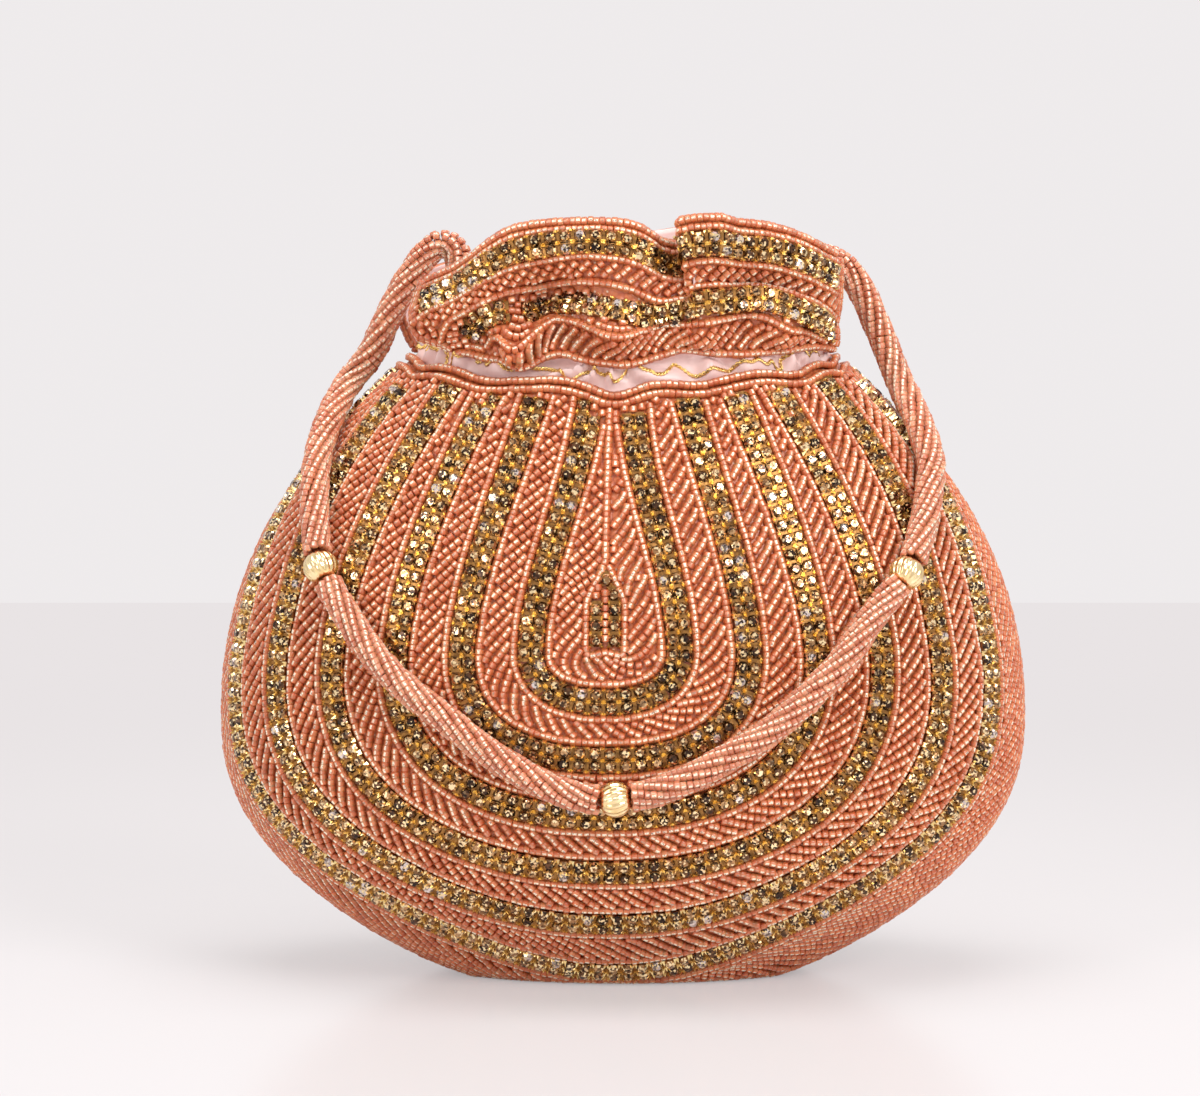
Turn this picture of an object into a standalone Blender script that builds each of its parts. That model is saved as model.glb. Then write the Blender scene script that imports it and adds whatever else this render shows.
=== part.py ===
"""A beaded potli bag: a gathered drawstring pouch with a frill and a rope handle.

The pouch is two embroidered panels sewn at the sides and under the base, round a satin
lining. A pleated satin casing gathers the neck, and a frill stands above it on each
side of the mouth. Double rows of cup chain run in nested loops on both panels and in
two lines along each frill. The handle is a rope of bead strands with three metal beads.

Metres, +Z up. The front faces -Y. The origin is on the table, under the middle.
"""
import math

import bmesh
import bpy
import numpy as np
from mathutils import Vector

MM = 0.001

# Pouch, outside, up to the cloth that carries the beads
BELLY_HALF_WIDTH = 100.0 * MM
BELLY_HALF_DEPTH = 52.0 * MM
BELLY_HEIGHT = 64.0 * MM
BASE_HALF_WIDTH = 43.0 * MM
BASE_HALF_DEPTH = 21.0 * MM
NECK_HALF_WIDTH = 50.0 * MM
NECK_HALF_DEPTH = 28.0 * MM
NECK_HEIGHT = 157.0 * MM
SAG = 2.3
SHOULDER = 2.2
PANEL_THICK = 2.4 * MM
SEAM_GAP = 0.3 * MM
RIM_AT_SIDES = 2.0 * MM
RIM_DIP = 6.0 * MM

# Lining and casing
CLEAR = 0.3 * MM
SATIN_THICK = 0.8 * MM
PLEAT_DEPTH = 0.9 * MM
PLEATS = 36
CASING_TUCK = 5.0 * MM
CASING_STAND = 8.0 * MM
LINING_SLACK = 0.7 * MM

# Frill
FRILL_LIFT = 5.0 * MM
FRILL_HEIGHT = 33.5 * MM
FRILL_FLARE = 5.0 * MM
FRILL_ROLL = 0.72
FRILL_DROOP = 3.0 * MM
FRILL_CORNER_LEFT = 11.0 * MM
FRILL_CORNER_RIGHT = 5.5 * MM
CORNER_FROM = 0.42
CORNER_SPAN_LEFT = 0.55
CORNER_SPAN_RIGHT = 0.50
FRILL_THICK = 2.4 * MM
FRILL_EASE = 0.5 * MM
FRILL_HELD = 0.10
FRILL_FREE = 0.28
LEFT_SLIT_AT_FOOT = math.radians(13.0)
LEFT_SLIT_AT_TOP = math.radians(27.0)
SLIT_AT_FOOT = math.radians(4.0)
SLIT_AT_TOP = math.radians(13.0)

# Cup chain
CHAIN_WIDTH = 6.2 * MM
CHAIN_HEIGHT = 1.0 * MM
CHAIN_VALLEY = 0.35 * MM
CHAIN_RIDGE = 0.55
CHAIN_SEAT = 0.35 * MM
CHAIN_END = 1.5 * MM
LOOP_FOOT_FIRST = 73.4 * MM
LOOP_STEP = 13.9 * MM
LOOP_SHOULDER = 86.0 * MM
LOOP_FULLNESS = 2.35
LOOP_CENTRE = -0.038
LOOP_SHARE_FIRST = 0.147
LOOP_SHARE_STEP = 0.1385
NECK_SHARES = (0.062, 0.232, 0.387, 0.535, 0.740, 0.930)
CORE_FOOT = 88.0 * MM
CORE_TOP = 103.0 * MM
CORE_TAPER = (1.0, 1.0, 1.0, 0.6, 0.4)
FRILL_CHAIN_DROPS = (7.0 * MM, 20.5 * MM)
FRILL_CHAIN_STARTS = (-0.93, -0.62)
FRILL_CHAIN_FINISH = 0.93
FRILL_CHAIN_CLEAR = 0.6 * MM

# Handle
ROPE_RADIUS = 3.6 * MM
ROPE_FACETS = 2
ROPE_POINT_EVERY = 9.5 * MM
HANDLE_BEAD_RADIUS = 4.3 * MM
HANDLE_BEAD_LENGTH = 7.8 * MM
HANDLE_BEAD_FLUTES = 8
FLUTE_SHARE = 0.05
TAB_LENGTH = 14.0 * MM
TAB_WIDTH = 7.0 * MM
TAB_THICK = 1.6 * MM
TAB_EDGE = 0.45 * MM


def new_material(name, colour, roughness, metallic=0.0):
    """A plain finish in the part's own colour."""
    material = bpy.data.materials.new(name)
    material.use_nodes = True
    shader = material.node_tree.nodes["Principled BSDF"]
    shader.inputs["Base Color"].default_value = (*colour, 1.0)
    shader.inputs["Roughness"].default_value = roughness
    shader.inputs["Metallic"].default_value = metallic
    return material


def half_sizes(height):
    """Half width and half depth of the pouch's oval section at a height.

    Both shrink from the belly towards the base and the neck by a power of the way there,
    and above the neck they stay as they are.
    """
    height = np.asarray(height, float)
    down = np.clip((BELLY_HEIGHT - height) / BELLY_HEIGHT, 0.0, None) ** SAG
    up = np.clip((height - BELLY_HEIGHT) / (NECK_HEIGHT - BELLY_HEIGHT), 0.0, 1.0) ** SHOULDER
    width = BELLY_HALF_WIDTH - (BELLY_HALF_WIDTH - BASE_HALF_WIDTH) * down
    width = width - (BELLY_HALF_WIDTH - NECK_HALF_WIDTH) * up
    depth = BELLY_HALF_DEPTH - (BELLY_HALF_DEPTH - BASE_HALF_DEPTH) * down
    depth = depth - (BELLY_HALF_DEPTH - NECK_HALF_DEPTH) * up
    return width, depth


def pouch(turn, height, out=0.0):
    """Places on the pouch at angles round its oval and at heights, `out` along the normal.

    A turn of 0 is the middle of the front and 90 degrees is the right side seam.
    """
    turn, height = np.broadcast_arrays(np.asarray(turn, float), np.asarray(height, float))
    width, depth = half_sizes(height)
    step = 0.1 * MM
    wider, deeper = half_sizes(height + step)
    across, along = np.sin(turn), -np.cos(turn)
    spot = np.stack([width * across, depth * along, height], -1)
    rise = (across ** 2 * (wider - width) / width + along ** 2 * (deeper - depth) / depth) / step
    normal = np.stack([across / width, along / depth, -rise], -1)
    normal = normal / np.linalg.norm(normal, axis=-1, keepdims=True)
    return spot + normal * np.asarray(out)[..., None]


def rim_height(turn):
    """Height of the panels' gathered top edge, lowest at the middle of the front and back."""
    return NECK_HEIGHT - RIM_AT_SIDES - RIM_DIP * np.cos(turn) ** 2


def even_shares(count, samples=400):
    """Shares of the neck height that part the side profile into even lengths of cloth."""
    share = np.linspace(0.0, 1.0, samples)
    width, _ = half_sizes(share * NECK_HEIGHT)
    length = np.hypot(np.diff(width), np.diff(share * NECK_HEIGHT)).cumsum()
    length = np.concatenate([[0.0], length])
    return np.interp(np.linspace(0.0, length[-1], count), length, share)


def turn_at(share, height, samples=120):
    """Angle at a share of the way round from the middle of the front to a side seam."""
    width, depth = half_sizes(height)
    turn = np.linspace(0.0, math.pi / 2, samples)
    step = np.hypot(width * np.diff(np.sin(turn)), depth * np.diff(np.cos(turn)))
    length = np.concatenate([[0.0], step.cumsum()])
    return math.copysign(np.interp(abs(share) * length[-1], length, turn), share)


def finish(name, collection, bm, material, smooth_angle=math.radians(40.0)):
    """Make an object of a closed bmesh, in its collection, shaded smooth but for folds."""
    bmesh.ops.remove_doubles(bm, verts=bm.verts, dist=0.02 * MM)
    bmesh.ops.dissolve_degenerate(bm, edges=bm.edges, dist=0.005 * MM)
    bmesh.ops.recalc_face_normals(bm, faces=bm.faces)
    mesh = bpy.data.meshes.new(name)
    bm.to_mesh(mesh)
    bm.free()
    mesh.materials.append(material)
    mesh.shade_smooth()
    mesh.set_sharp_from_angle(angle=smooth_angle)
    thing = bpy.data.objects.new(name, mesh)
    collection.objects.link(thing)
    return thing


def loft_wall(outer, inner, ring=False, floor=False):
    """A wall between two grids of places of like shape, closed along its free edges.

    The grids are [row, column, xyz]. A ring's last column meets its first, and with a floor
    each skin's first row is filled, as in a bag.
    """
    rows, columns = outer.shape[:2]
    bm = bmesh.new()
    skins = []
    for grid in (outer, inner):
        skins.append([[bm.verts.new(tuple(spot)) for spot in row] for row in grid])
    spans = columns if ring else columns - 1
    for first, second in zip(range(rows - 1), range(1, rows)):
        for column in range(spans):
            beside = (column + 1) % columns
            for skin in skins:
                bm.faces.new((skin[first][column], skin[first][beside],
                              skin[second][beside], skin[second][column]))
    out, back = skins
    for skin in skins if floor else ():
        bm.faces.new(skin[0])
    for row in (rows - 1,) if floor else (0, rows - 1):
        for column in range(spans):
            beside = (column + 1) % columns
            bm.faces.new((out[row][column], out[row][beside], back[row][beside], back[row][column]))
    if not ring:
        for column in (0, columns - 1):
            for row in range(rows - 1):
                bm.faces.new((out[row][column], out[row + 1][column],
                              back[row + 1][column], back[row][column]))
    return bm


def build_panel(name, collection, material, columns=20, rows=13):
    """One embroidered panel: half of the pouch wall with half of its flat base."""
    turn = np.linspace(-math.pi / 2, math.pi / 2, columns + 1)
    shares = even_shares(rows)
    heights = shares[:, None] * rim_height(turn)[None, :]
    outer = pouch(turn, heights)
    inner = pouch(turn, heights, -PANEL_THICK)
    foot = inner[0].copy()
    inner[0, :, 2] = PANEL_THICK
    foot[:, 1] = 0.0
    foot[:, 2] = PANEL_THICK
    keel = outer[0].copy()
    keel[:, 1] = 0.0
    outer = np.concatenate([keel[None], outer])
    inner = np.concatenate([foot[None], inner])
    for grid in (outer, inner):
        grid[..., 1] -= SEAM_GAP / 2
    return finish(name, collection, loft_wall(outer, inner), material)


def neck_levels(turn):
    """Heights that the casing runs through: its tucked foot, the panels' rim and its top."""
    return rim_height(turn)[None, :] + np.array([[-CASING_TUCK], [0.0], [CASING_STAND]])


def build_lining(collection, material, columns=24, rows=7):
    """The satin bag inside: it hangs clear in the pouch and is drawn in at the pleated neck."""
    turn = np.linspace(-math.pi, math.pi, columns, endpoint=False)
    neck = neck_levels(turn)
    heights = np.concatenate([even_shares(rows)[:-1, None] * neck[:1], neck])
    pouch_depth = PANEL_THICK + LINING_SLACK
    neck_depth = PANEL_THICK + 2 * PLEAT_DEPTH + SATIN_THICK + 2 * CLEAR + LINING_SLACK
    depth = np.where(heights < neck[:1], pouch_depth, neck_depth)
    outer = pouch(turn, heights, -depth)
    inner = pouch(turn, heights, -depth - SATIN_THICK)
    outer[0, :, 2] = pouch_depth
    inner[0, :, 2] = pouch_depth + SATIN_THICK
    return finish("satin_lining", collection, loft_wall(outer, inner, ring=True, floor=True), material)


def build_casing(collection, material):
    """The pleated satin channel that holds the neck gathered, tucked inside the panels' rim."""
    columns = PLEATS * 2
    turn = np.linspace(-math.pi, math.pi, columns, endpoint=False)
    heights = neck_levels(turn)
    wave = PLEAT_DEPTH * (1 - np.cos(PLEATS * turn))
    depth = PANEL_THICK + CLEAR + wave[None, :] + 0.0 * heights
    outer = pouch(turn, heights, -depth)
    inner = pouch(turn, heights, -depth - SATIN_THICK)
    return finish("neck_casing", collection, loft_wall(outer, inner, ring=True), material)


class Fold:
    """A soft fold in a frill: a ridge if it swells outwards, a crease if inwards."""

    def __init__(self, turn, rise, width, tall, swell, lift=0.0):
        self.turn, self.width = math.radians(turn), math.radians(width)
        self.rise, self.tall = rise, tall
        self.swell, self.lift = swell * MM, lift * MM

    def strength(self, turn, rise):
        """The fold's share at places given by their angle and share of height: 1 at its middle."""
        return np.exp(-((turn - self.turn) / self.width) ** 2 - ((rise - self.rise) / self.tall) ** 2)


# Angle round the neck and share of the frill's height, spread in both, swell and lift in mm
FRONT_FOLDS = (
    Fold(-76, 0.55, 14, 0.60, -3.0),
    Fold(-56, 0.45, 12, 0.26, 2.2),
    Fold(-42, 1.00, 13, 0.70, 0.6, -3.2),
    Fold(-28, 0.14, 8, 0.18, 3.4, -1.6),
    Fold(-20, 0.45, 10, 0.20, -3.8),
    Fold(-12, 0.08, 7, 0.14, -1.6),
    Fold(-9, 0.66, 14, 0.26, 0.8, 2.2),
    Fold(-2, 0.24, 8, 0.16, 2.8, -0.6),
    Fold(5, 0.38, 8, 0.18, -0.8, -1.8),
    Fold(12, 0.90, 7, 0.45, -2.8, -3.6),
    Fold(22, 0.92, 6, 0.50, 3.2, 0.6),
    Fold(36, 0.34, 10, 0.16, 0.8, 1.6),
    Fold(38, 0.54, 17, 0.14, -2.2),
    Fold(52, 0.22, 12, 0.22, 2.0),
    Fold(78, 0.55, 14, 0.60, -2.6),
)
BACK_FOLDS = (
    Fold(-62, 0.50, 9, 0.50, 2.4),
    Fold(-44, 0.75, 8, 0.50, -3.4, -2.4),
    Fold(-24, 0.35, 10, 0.35, 3.0),
    Fold(-6, 0.80, 8, 0.45, -3.4, -2.0),
    Fold(12, 0.45, 9, 0.40, 2.8, 0.6),
    Fold(31, 0.85, 8, 0.50, 2.6, -1.4),
    Fold(44, 0.30, 8, 0.35, -3.2),
    Fold(64, 0.60, 9, 0.50, 2.2),
)


def ease(way):
    """A share from 0 to 1 eased at both ends."""
    way = np.clip(way, 0.0, 1.0)
    return way * way * (3 - 2 * way)


def frill_height(side_share):
    """Height of a frill from its foot to its free edge, whose corners droop."""
    left = FRILL_CORNER_LEFT * ease((-side_share - CORNER_FROM) / CORNER_SPAN_LEFT)
    right = FRILL_CORNER_RIGHT * ease((side_share - CORNER_FROM) / CORNER_SPAN_RIGHT)
    return FRILL_HEIGHT - FRILL_DROOP * np.abs(side_share) ** 3 - left - right


def frill(side_share, rise, folds, out=0.0):
    """Places on a frill's outside: a share of -1 to 1 across it and a share of its height.

    It starts on the pouch's own outline above the casing, flares out and folds in and out.
    """
    side_share, rise = np.broadcast_arrays(np.asarray(side_share, float), np.asarray(rise, float))
    left_slit = LEFT_SLIT_AT_FOOT + (LEFT_SLIT_AT_TOP - LEFT_SLIT_AT_FOOT) * rise
    right_slit = SLIT_AT_FOOT + (SLIT_AT_TOP - SLIT_AT_FOOT) * rise
    turn = side_share * (math.pi / 2 - np.where(side_share < 0, left_slit, right_slit))
    foot = pouch(turn, rim_height(turn) + FRILL_LIFT * np.cos(turn) ** 2 + CLEAR)
    width, depth = half_sizes(foot[..., 2])
    plan = np.stack([np.sin(turn) / width, -np.cos(turn) / depth, 0.0 * turn], -1)
    plan = plan / np.linalg.norm(plan, axis=-1, keepdims=True)
    flare = FRILL_FLARE * np.sin(math.pi * np.clip(rise * FRILL_ROLL, 0.0, 1.0))
    loose = np.clip((rise - FRILL_HELD) / (FRILL_FREE - FRILL_HELD), 0.0, 1.0)
    push = sum(fold.swell * fold.strength(turn, rise) for fold in folds) * loose
    lift = sum(fold.lift * fold.strength(turn, rise) for fold in folds) * loose
    spot = foot + plan * (FRILL_EASE + flare + push + out)[..., None]
    spot[..., 2] += rise * frill_height(side_share) + lift
    return spot


def build_frill(name, collection, material, folds, columns=30, rows=6):
    """One frill: the beaded cloth that stands above the casing, open at the side slits."""
    across = np.linspace(-1.0, 1.0, columns + 1)
    rise = np.linspace(0.0, 1.0, rows + 1)[:, None]
    outer = frill(across, rise, folds)
    inner = frill(across, rise, folds, -FRILL_THICK)
    return finish(name, collection, loft_wall(outer, inner), material)


def chain_strip(name, collection, material, left, crown, right, normals, taper=None):
    """A strip of double cup chain along a path: two ridges of cups with a valley between.

    `left` and `right` are its edges on the cloth and `crown` its middle line.
    """
    rings = []
    scale = np.ones(len(crown)) if taper is None else taper
    for index, middle in enumerate(crown):
        normal = normals[index]
        edges = [middle + (edge[index] - middle) * scale[index] for edge in (left, right)]
        ridges = [middle + (edge - middle) * CHAIN_RIDGE + normal * CHAIN_HEIGHT for edge in edges]
        valley = middle + normal * (CHAIN_HEIGHT - CHAIN_VALLEY)
        rings.append([edges[0], ridges[0], valley, ridges[1], edges[1]])
    bm = bmesh.new()
    verts = [[bm.verts.new(tuple(spot)) for spot in ring] for ring in rings]
    for first, second in zip(verts, verts[1:]):
        for here in range(5):
            beside = (here + 1) % 5
            bm.faces.new((first[here], first[beside], second[beside], second[here]))
    bm.faces.new(verts[0])
    bm.faces.new(list(reversed(verts[-1])))
    return finish(name, collection, bm, material)


def strip_on_pouch(name, collection, material, path, taper=None):
    """A chain strip along (turn, height) places on the pouch."""
    turn, height = np.array(path).T
    middle = pouch(turn, height, CHAIN_SEAT)
    normals = pouch(turn, height, 1.0) - pouch(turn, height)
    ahead = np.gradient(middle, axis=0)
    across = np.cross(ahead, normals)
    across = across / np.linalg.norm(across, axis=1, keepdims=True)
    edges = [middle + across * sign * CHAIN_WIDTH / 2 for sign in (-1.0, 1.0)]
    return chain_strip(name, collection, material, edges[0], middle, edges[1], normals, taper)


def half_loop(number, side, arm_steps=6, bend_steps=6):
    """One side of a nested loop, from its end at the neck down to its foot in the middle.

    The arm keeps a share of the way round to the side seam, which blends from the neck's
    gathers to the belly's. Below the shoulder it closes in a quarter of a superellipse.
    """
    belly_share = LOOP_SHARE_FIRST + LOOP_SHARE_STEP * number
    foot = LOOP_FOOT_FIRST - LOOP_STEP * number
    path = []
    for way in np.linspace(1.0, 0.0, arm_steps, endpoint=False):
        blend = way ** 2 * (3 - 2 * way)
        share = side * (belly_share + (NECK_SHARES[number] - belly_share) * blend) + LOOP_CENTRE
        top = rim_height(turn_at(share, NECK_HEIGHT)) - CHAIN_END
        height = LOOP_SHOULDER + (top - LOOP_SHOULDER) * way
        path.append((turn_at(share, height), height))
    for angle in np.linspace(0.0, math.pi / 2, bend_steps + (3 * number) // 2 + 1):
        share = side * belly_share * max(0.0, math.cos(angle)) ** (2 / LOOP_FULLNESS) + LOOP_CENTRE
        height = LOOP_SHOULDER - (LOOP_SHOULDER - foot) * math.sin(angle) ** (2 / LOOP_FULLNESS)
        path.append((turn_at(share, height), height))
    return path


def build_chains(collection, material, face):
    """The nested loops and their short core on one panel, each loop's foot a step lower."""
    strips = []
    for number in range(len(NECK_SHARES)):
        path = half_loop(number, -1)[:-1] + half_loop(number, 1)[::-1]
        strips.append(strip_on_pouch(f"{face}_chain_{number + 1}", collection, material, path))
    heights = np.linspace(CORE_FOOT, CORE_TOP, len(CORE_TAPER))
    path = [(turn_at(LOOP_CENTRE, height), height) for height in heights]
    strips.append(strip_on_pouch(f"{face}_chain_core", collection, material, path, CORE_TAPER))
    return strips


def build_frill_chains(collection, material, face, folds, columns=30):
    """Two chains along a frill, at set drops below its free edge."""
    strips = []
    for drop, start, place in zip(FRILL_CHAIN_DROPS, FRILL_CHAIN_STARTS, ("upper", "lower")):
        across = np.linspace(start, FRILL_CHAIN_FINISH, columns - 1)
        middle = 1.0 - drop / frill_height(across)
        reach = CHAIN_WIDTH / 2 / frill_height(across)
        seat = CHAIN_SEAT + FRILL_CHAIN_CLEAR
        left, crown, right = (frill(across, middle + shift, folds, seat)
                              for shift in (-reach, 0.0 * reach, reach))
        normals = frill(across, middle, folds, 1.0) - frill(across, middle, folds)
        strips.append(chain_strip(f"{face}_frill_chain_{place}", collection, material,
                                  left, crown, right, normals))
    return strips


# Where the handle lies on the front: angle round the pouch and percent of the neck's height
HANDLE_RUNS = (
    ((-73.2, 86.2), (-66.2, 81.6), (-60.0, 77.0), (-54.5, 71.8)),
    ((-43.0, 59.9), (-36.3, 53.6), (-30.4, 48.5), (-23.9, 43.8), (-16.5, 38.2), (-8.4, 33.8)),
    ((6.2, 34.6), (12.8, 38.2), (20.9, 43.5), (29.3, 51.2), (36.8, 58.9)),
    ((51.5, 71.1), (57.2, 75.6), (64.8, 80.5), (74.0, 86.4)),
)
HANDLE_BEADS = {
    "handle_bead_left": (-49.0, 65.5),
    "handle_bead_centre": (-1.2, 32.9),
    "handle_bead_right": (44.3, 64.8),
}
# Its ends, up over the frill and down into the neck: mm out past the neck, back and above it
LEFT_END = ((-9.6, 0.8, 17.0), (-8.4, 1.2, 23.4), (-4.4, 1.2, 25.4), (0.2, 1.2, 21.4),
            (7.2, 1.2, 10.2), (12.8, 0.6, -1.6), (18.6, -2.2, -9.6))
RIGHT_END = ((18.8, -2.4, -8.8), (14.4, -0.6, 2.8), (9.4, 0.0, 14.0), (4.4, 0.4, 20.0),
             (-1.8, 1.0, 22.0), (-7.2, 0.8, 17.6))


def lie_on_pouch(turn, percent, radius):
    """Place of a round thing's middle that lies on the front panel's chains."""
    out = CHAIN_SEAT + CHAIN_HEIGHT + CLEAR + radius
    return Vector(pouch(math.radians(turn), percent / 100 * NECK_HEIGHT, out))


def beside_neck(side, out, back, above):
    """Place of one of the rope's end points, measured in mm from the neck's side."""
    return Vector((side * (NECK_HALF_WIDTH + out * MM), back * MM, NECK_HEIGHT + above * MM))


def smooth_curve(points, steps=12):
    """A Catmull-Rom curve through points, with the length along it at each point and step."""
    ends = [points[0] * 2 - points[1]] + points + [points[-1] * 2 - points[-2]]
    fine = []
    for before, start, end, after in zip(ends, ends[1:], ends[2:], ends[3:]):
        for step in range(steps):
            way = step / steps
            fine.append(0.5 * (2 * start + (end - before) * way
                               + (2 * before - 5 * start + 4 * end - after) * way ** 2
                               + (3 * start - before - 3 * end + after) * way ** 3))
    fine = np.array([tuple(spot) for spot in fine + [points[-1]]])
    length = np.concatenate([[0.0], np.linalg.norm(np.diff(fine, axis=0), axis=1).cumsum()])
    return fine, length


def tab_top(side):
    """Where an end of the rope meets its tab, just above the casing at a side seam."""
    inside = PANEL_THICK + 2 * PLEAT_DEPTH + 2 * SATIN_THICK + 2 * CLEAR + LINING_SLACK
    half_width, half_depth = NECK_HALF_WIDTH - inside, NECK_HALF_DEPTH - inside
    curve = half_width * (1 - math.sqrt(1 - (TAB_WIDTH / 2 / half_depth) ** 2))
    across = half_width - curve - 2 * CLEAR - TAB_THICK / 2
    return Vector((side * across, 0.0, NECK_HEIGHT - RIM_AT_SIDES + CASING_STAND + 2 * CLEAR))


def handle_route():
    """The rope's free stretches between its ends and beads, and the beads' middles and lines."""
    left_end = [beside_neck(-1, *spot) for spot in LEFT_END]
    right_end = [beside_neck(1, *spot) for spot in RIGHT_END]
    points, stops = [tab_top(-1)] + left_end, []
    for run, bead in zip(HANDLE_RUNS, (*HANDLE_BEADS.values(), None)):
        points += [lie_on_pouch(*spot, ROPE_RADIUS) for spot in run]
        if bead:
            stops.append(len(points))
            points.append(lie_on_pouch(*bead, HANDLE_BEAD_RADIUS))
    points += right_end + [tab_top(1)]
    steps = 12
    fine, length = smooth_curve(points, steps)
    places = [length[stop * steps] for stop in stops]
    room = HANDLE_BEAD_LENGTH / 2 + CLEAR
    starts = [0.0] + [place + room for place in places]
    finishes = [place - room for place in places] + [length[-1]]
    stretches = []
    for start, finish_at in zip(starts, finishes):
        even = np.linspace(start, finish_at, max(3, round((finish_at - start) / ROPE_POINT_EVERY) + 1))
        stretches.append(np.stack([np.interp(even, length, fine[:, axis]) for axis in range(3)], 1))
    lines = [after[0] - before[-1] for before, after in zip(stretches, stretches[1:])]
    middles = [(after[0] + before[-1]) / 2 for before, after in zip(stretches, stretches[1:])]
    return stretches, list(zip(middles, lines))


def build_rope(name, collection, material, route):
    """One free stretch of the handle's rope as a plain tube with filled ends."""
    curve = bpy.data.curves.new(name, "CURVE")
    curve.dimensions = "3D"
    curve.bevel_depth = ROPE_RADIUS
    curve.bevel_resolution = ROPE_FACETS
    curve.use_fill_caps = True
    spline = curve.splines.new("POLY")
    spline.points.add(len(route) - 1)
    for point, spot in zip(spline.points, route):
        point.co = (*spot, 1.0)
    curve.materials.append(material)
    rope = bpy.data.objects.new(name, curve)
    collection.objects.link(rope)
    return rope


def build_handle_bead(name, collection, material, place, direction, rings=6):
    """A fluted metal bead, a lathed ball with flutes, its hole's line along the rope."""
    bm = bmesh.new()
    sides = HANDLE_BEAD_FLUTES * 2
    bmesh.ops.create_uvsphere(bm, u_segments=sides, v_segments=rings, radius=HANDLE_BEAD_RADIUS)
    for vert in bm.verts:
        angle = math.atan2(vert.co.y, vert.co.x)
        flute = 1.0 - FLUTE_SHARE * (1 - math.cos(HANDLE_BEAD_FLUTES * angle)) / 2
        vert.co.x *= flute
        vert.co.y *= flute
        vert.co.z *= HANDLE_BEAD_LENGTH / 2 / HANDLE_BEAD_RADIUS
    bead = finish(name, collection, bm, material, math.radians(20.0))
    bead.rotation_mode = "QUATERNION"
    bead.rotation_quaternion = direction.to_track_quat("Z", "Y")
    bead.location = place
    return bead


def build_tab(name, collection, material, top):
    """A folded satin tab that holds an end of the handle to the inside of the neck."""
    bm = bmesh.new()
    bmesh.ops.create_cube(bm, size=1.0)
    bmesh.ops.scale(bm, verts=bm.verts, vec=(TAB_THICK, TAB_WIDTH, TAB_LENGTH))
    tab = finish(name, collection, bm, material)
    bevel = tab.modifiers.new("soft_edges", "BEVEL")
    bevel.width = TAB_EDGE
    bevel.segments = 1
    tab.location = top - Vector((0.0, 0.0, TAB_LENGTH / 2 + CLEAR))
    return tab


def clear_scene():
    """Remove every object that the file opened with."""
    for thing in list(bpy.data.objects):
        bpy.data.objects.remove(thing, do_unlink=True)


def build():
    """Make every piece of the bag."""
    clear_scene()
    bag = bpy.data.collections.new("potli_bag")
    bpy.context.scene.collection.children.link(bag)
    beaded = new_material("coral_beading", (0.72, 0.30, 0.20), 0.35)
    satin = new_material("pink_satin", (0.88, 0.60, 0.52), 0.40)
    cups = new_material("gilt_cup_chain", (0.66, 0.46, 0.18), 0.30, 1.0)
    strands = new_material("bead_rope", (0.80, 0.42, 0.32), 0.35)
    gold = new_material("pale_gold", (0.92, 0.78, 0.42), 0.22, 1.0)

    for face, angle, folds in (("front", 0.0, FRONT_FOLDS), ("back", math.pi, BACK_FOLDS)):
        pieces = [build_panel(f"{face}_panel", bag, beaded)]
        pieces.append(build_frill(f"{face}_frill", bag, beaded, folds))
        pieces += build_chains(bag, cups, face)
        pieces += build_frill_chains(bag, cups, face, folds)
        for piece in pieces:
            piece.rotation_euler.z = angle
    build_lining(bag, satin)
    build_casing(bag, satin)

    stretches, beads = handle_route()
    for place, route in zip(("left_end", "left_drape", "right_drape", "right_end"), stretches):
        build_rope(f"handle_rope_{place}", bag, strands, route)
    for name, (middle, line) in zip(HANDLE_BEADS, beads):
        build_handle_bead(name, bag, gold, Vector(middle), Vector(line))
    build_tab("handle_tab_left", bag, satin, tab_top(-1))
    build_tab("handle_tab_right", bag, satin, tab_top(1))


build()
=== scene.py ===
"""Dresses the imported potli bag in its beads, cup chain, satin and handle, and lights it.

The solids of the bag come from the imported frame. Every soft or plain solid among them is
stood in for by a finer surface here: cloth under rows of silver-lined seed beads, double
cup chain in nested loops, a crumpled beaded frill, pleated satin with gold chain stitch,
and a rope of twisted bead strands with three fluted metal beads.

Metres, +Z up, the front faces -Y. Angles round the bag are in radians from the front's
middle, growing to the right. A rng is the seeded source of a piece's random draws.
"""

import logging
import math
from collections.abc import Iterable
from dataclasses import dataclass
from enum import Enum

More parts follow.
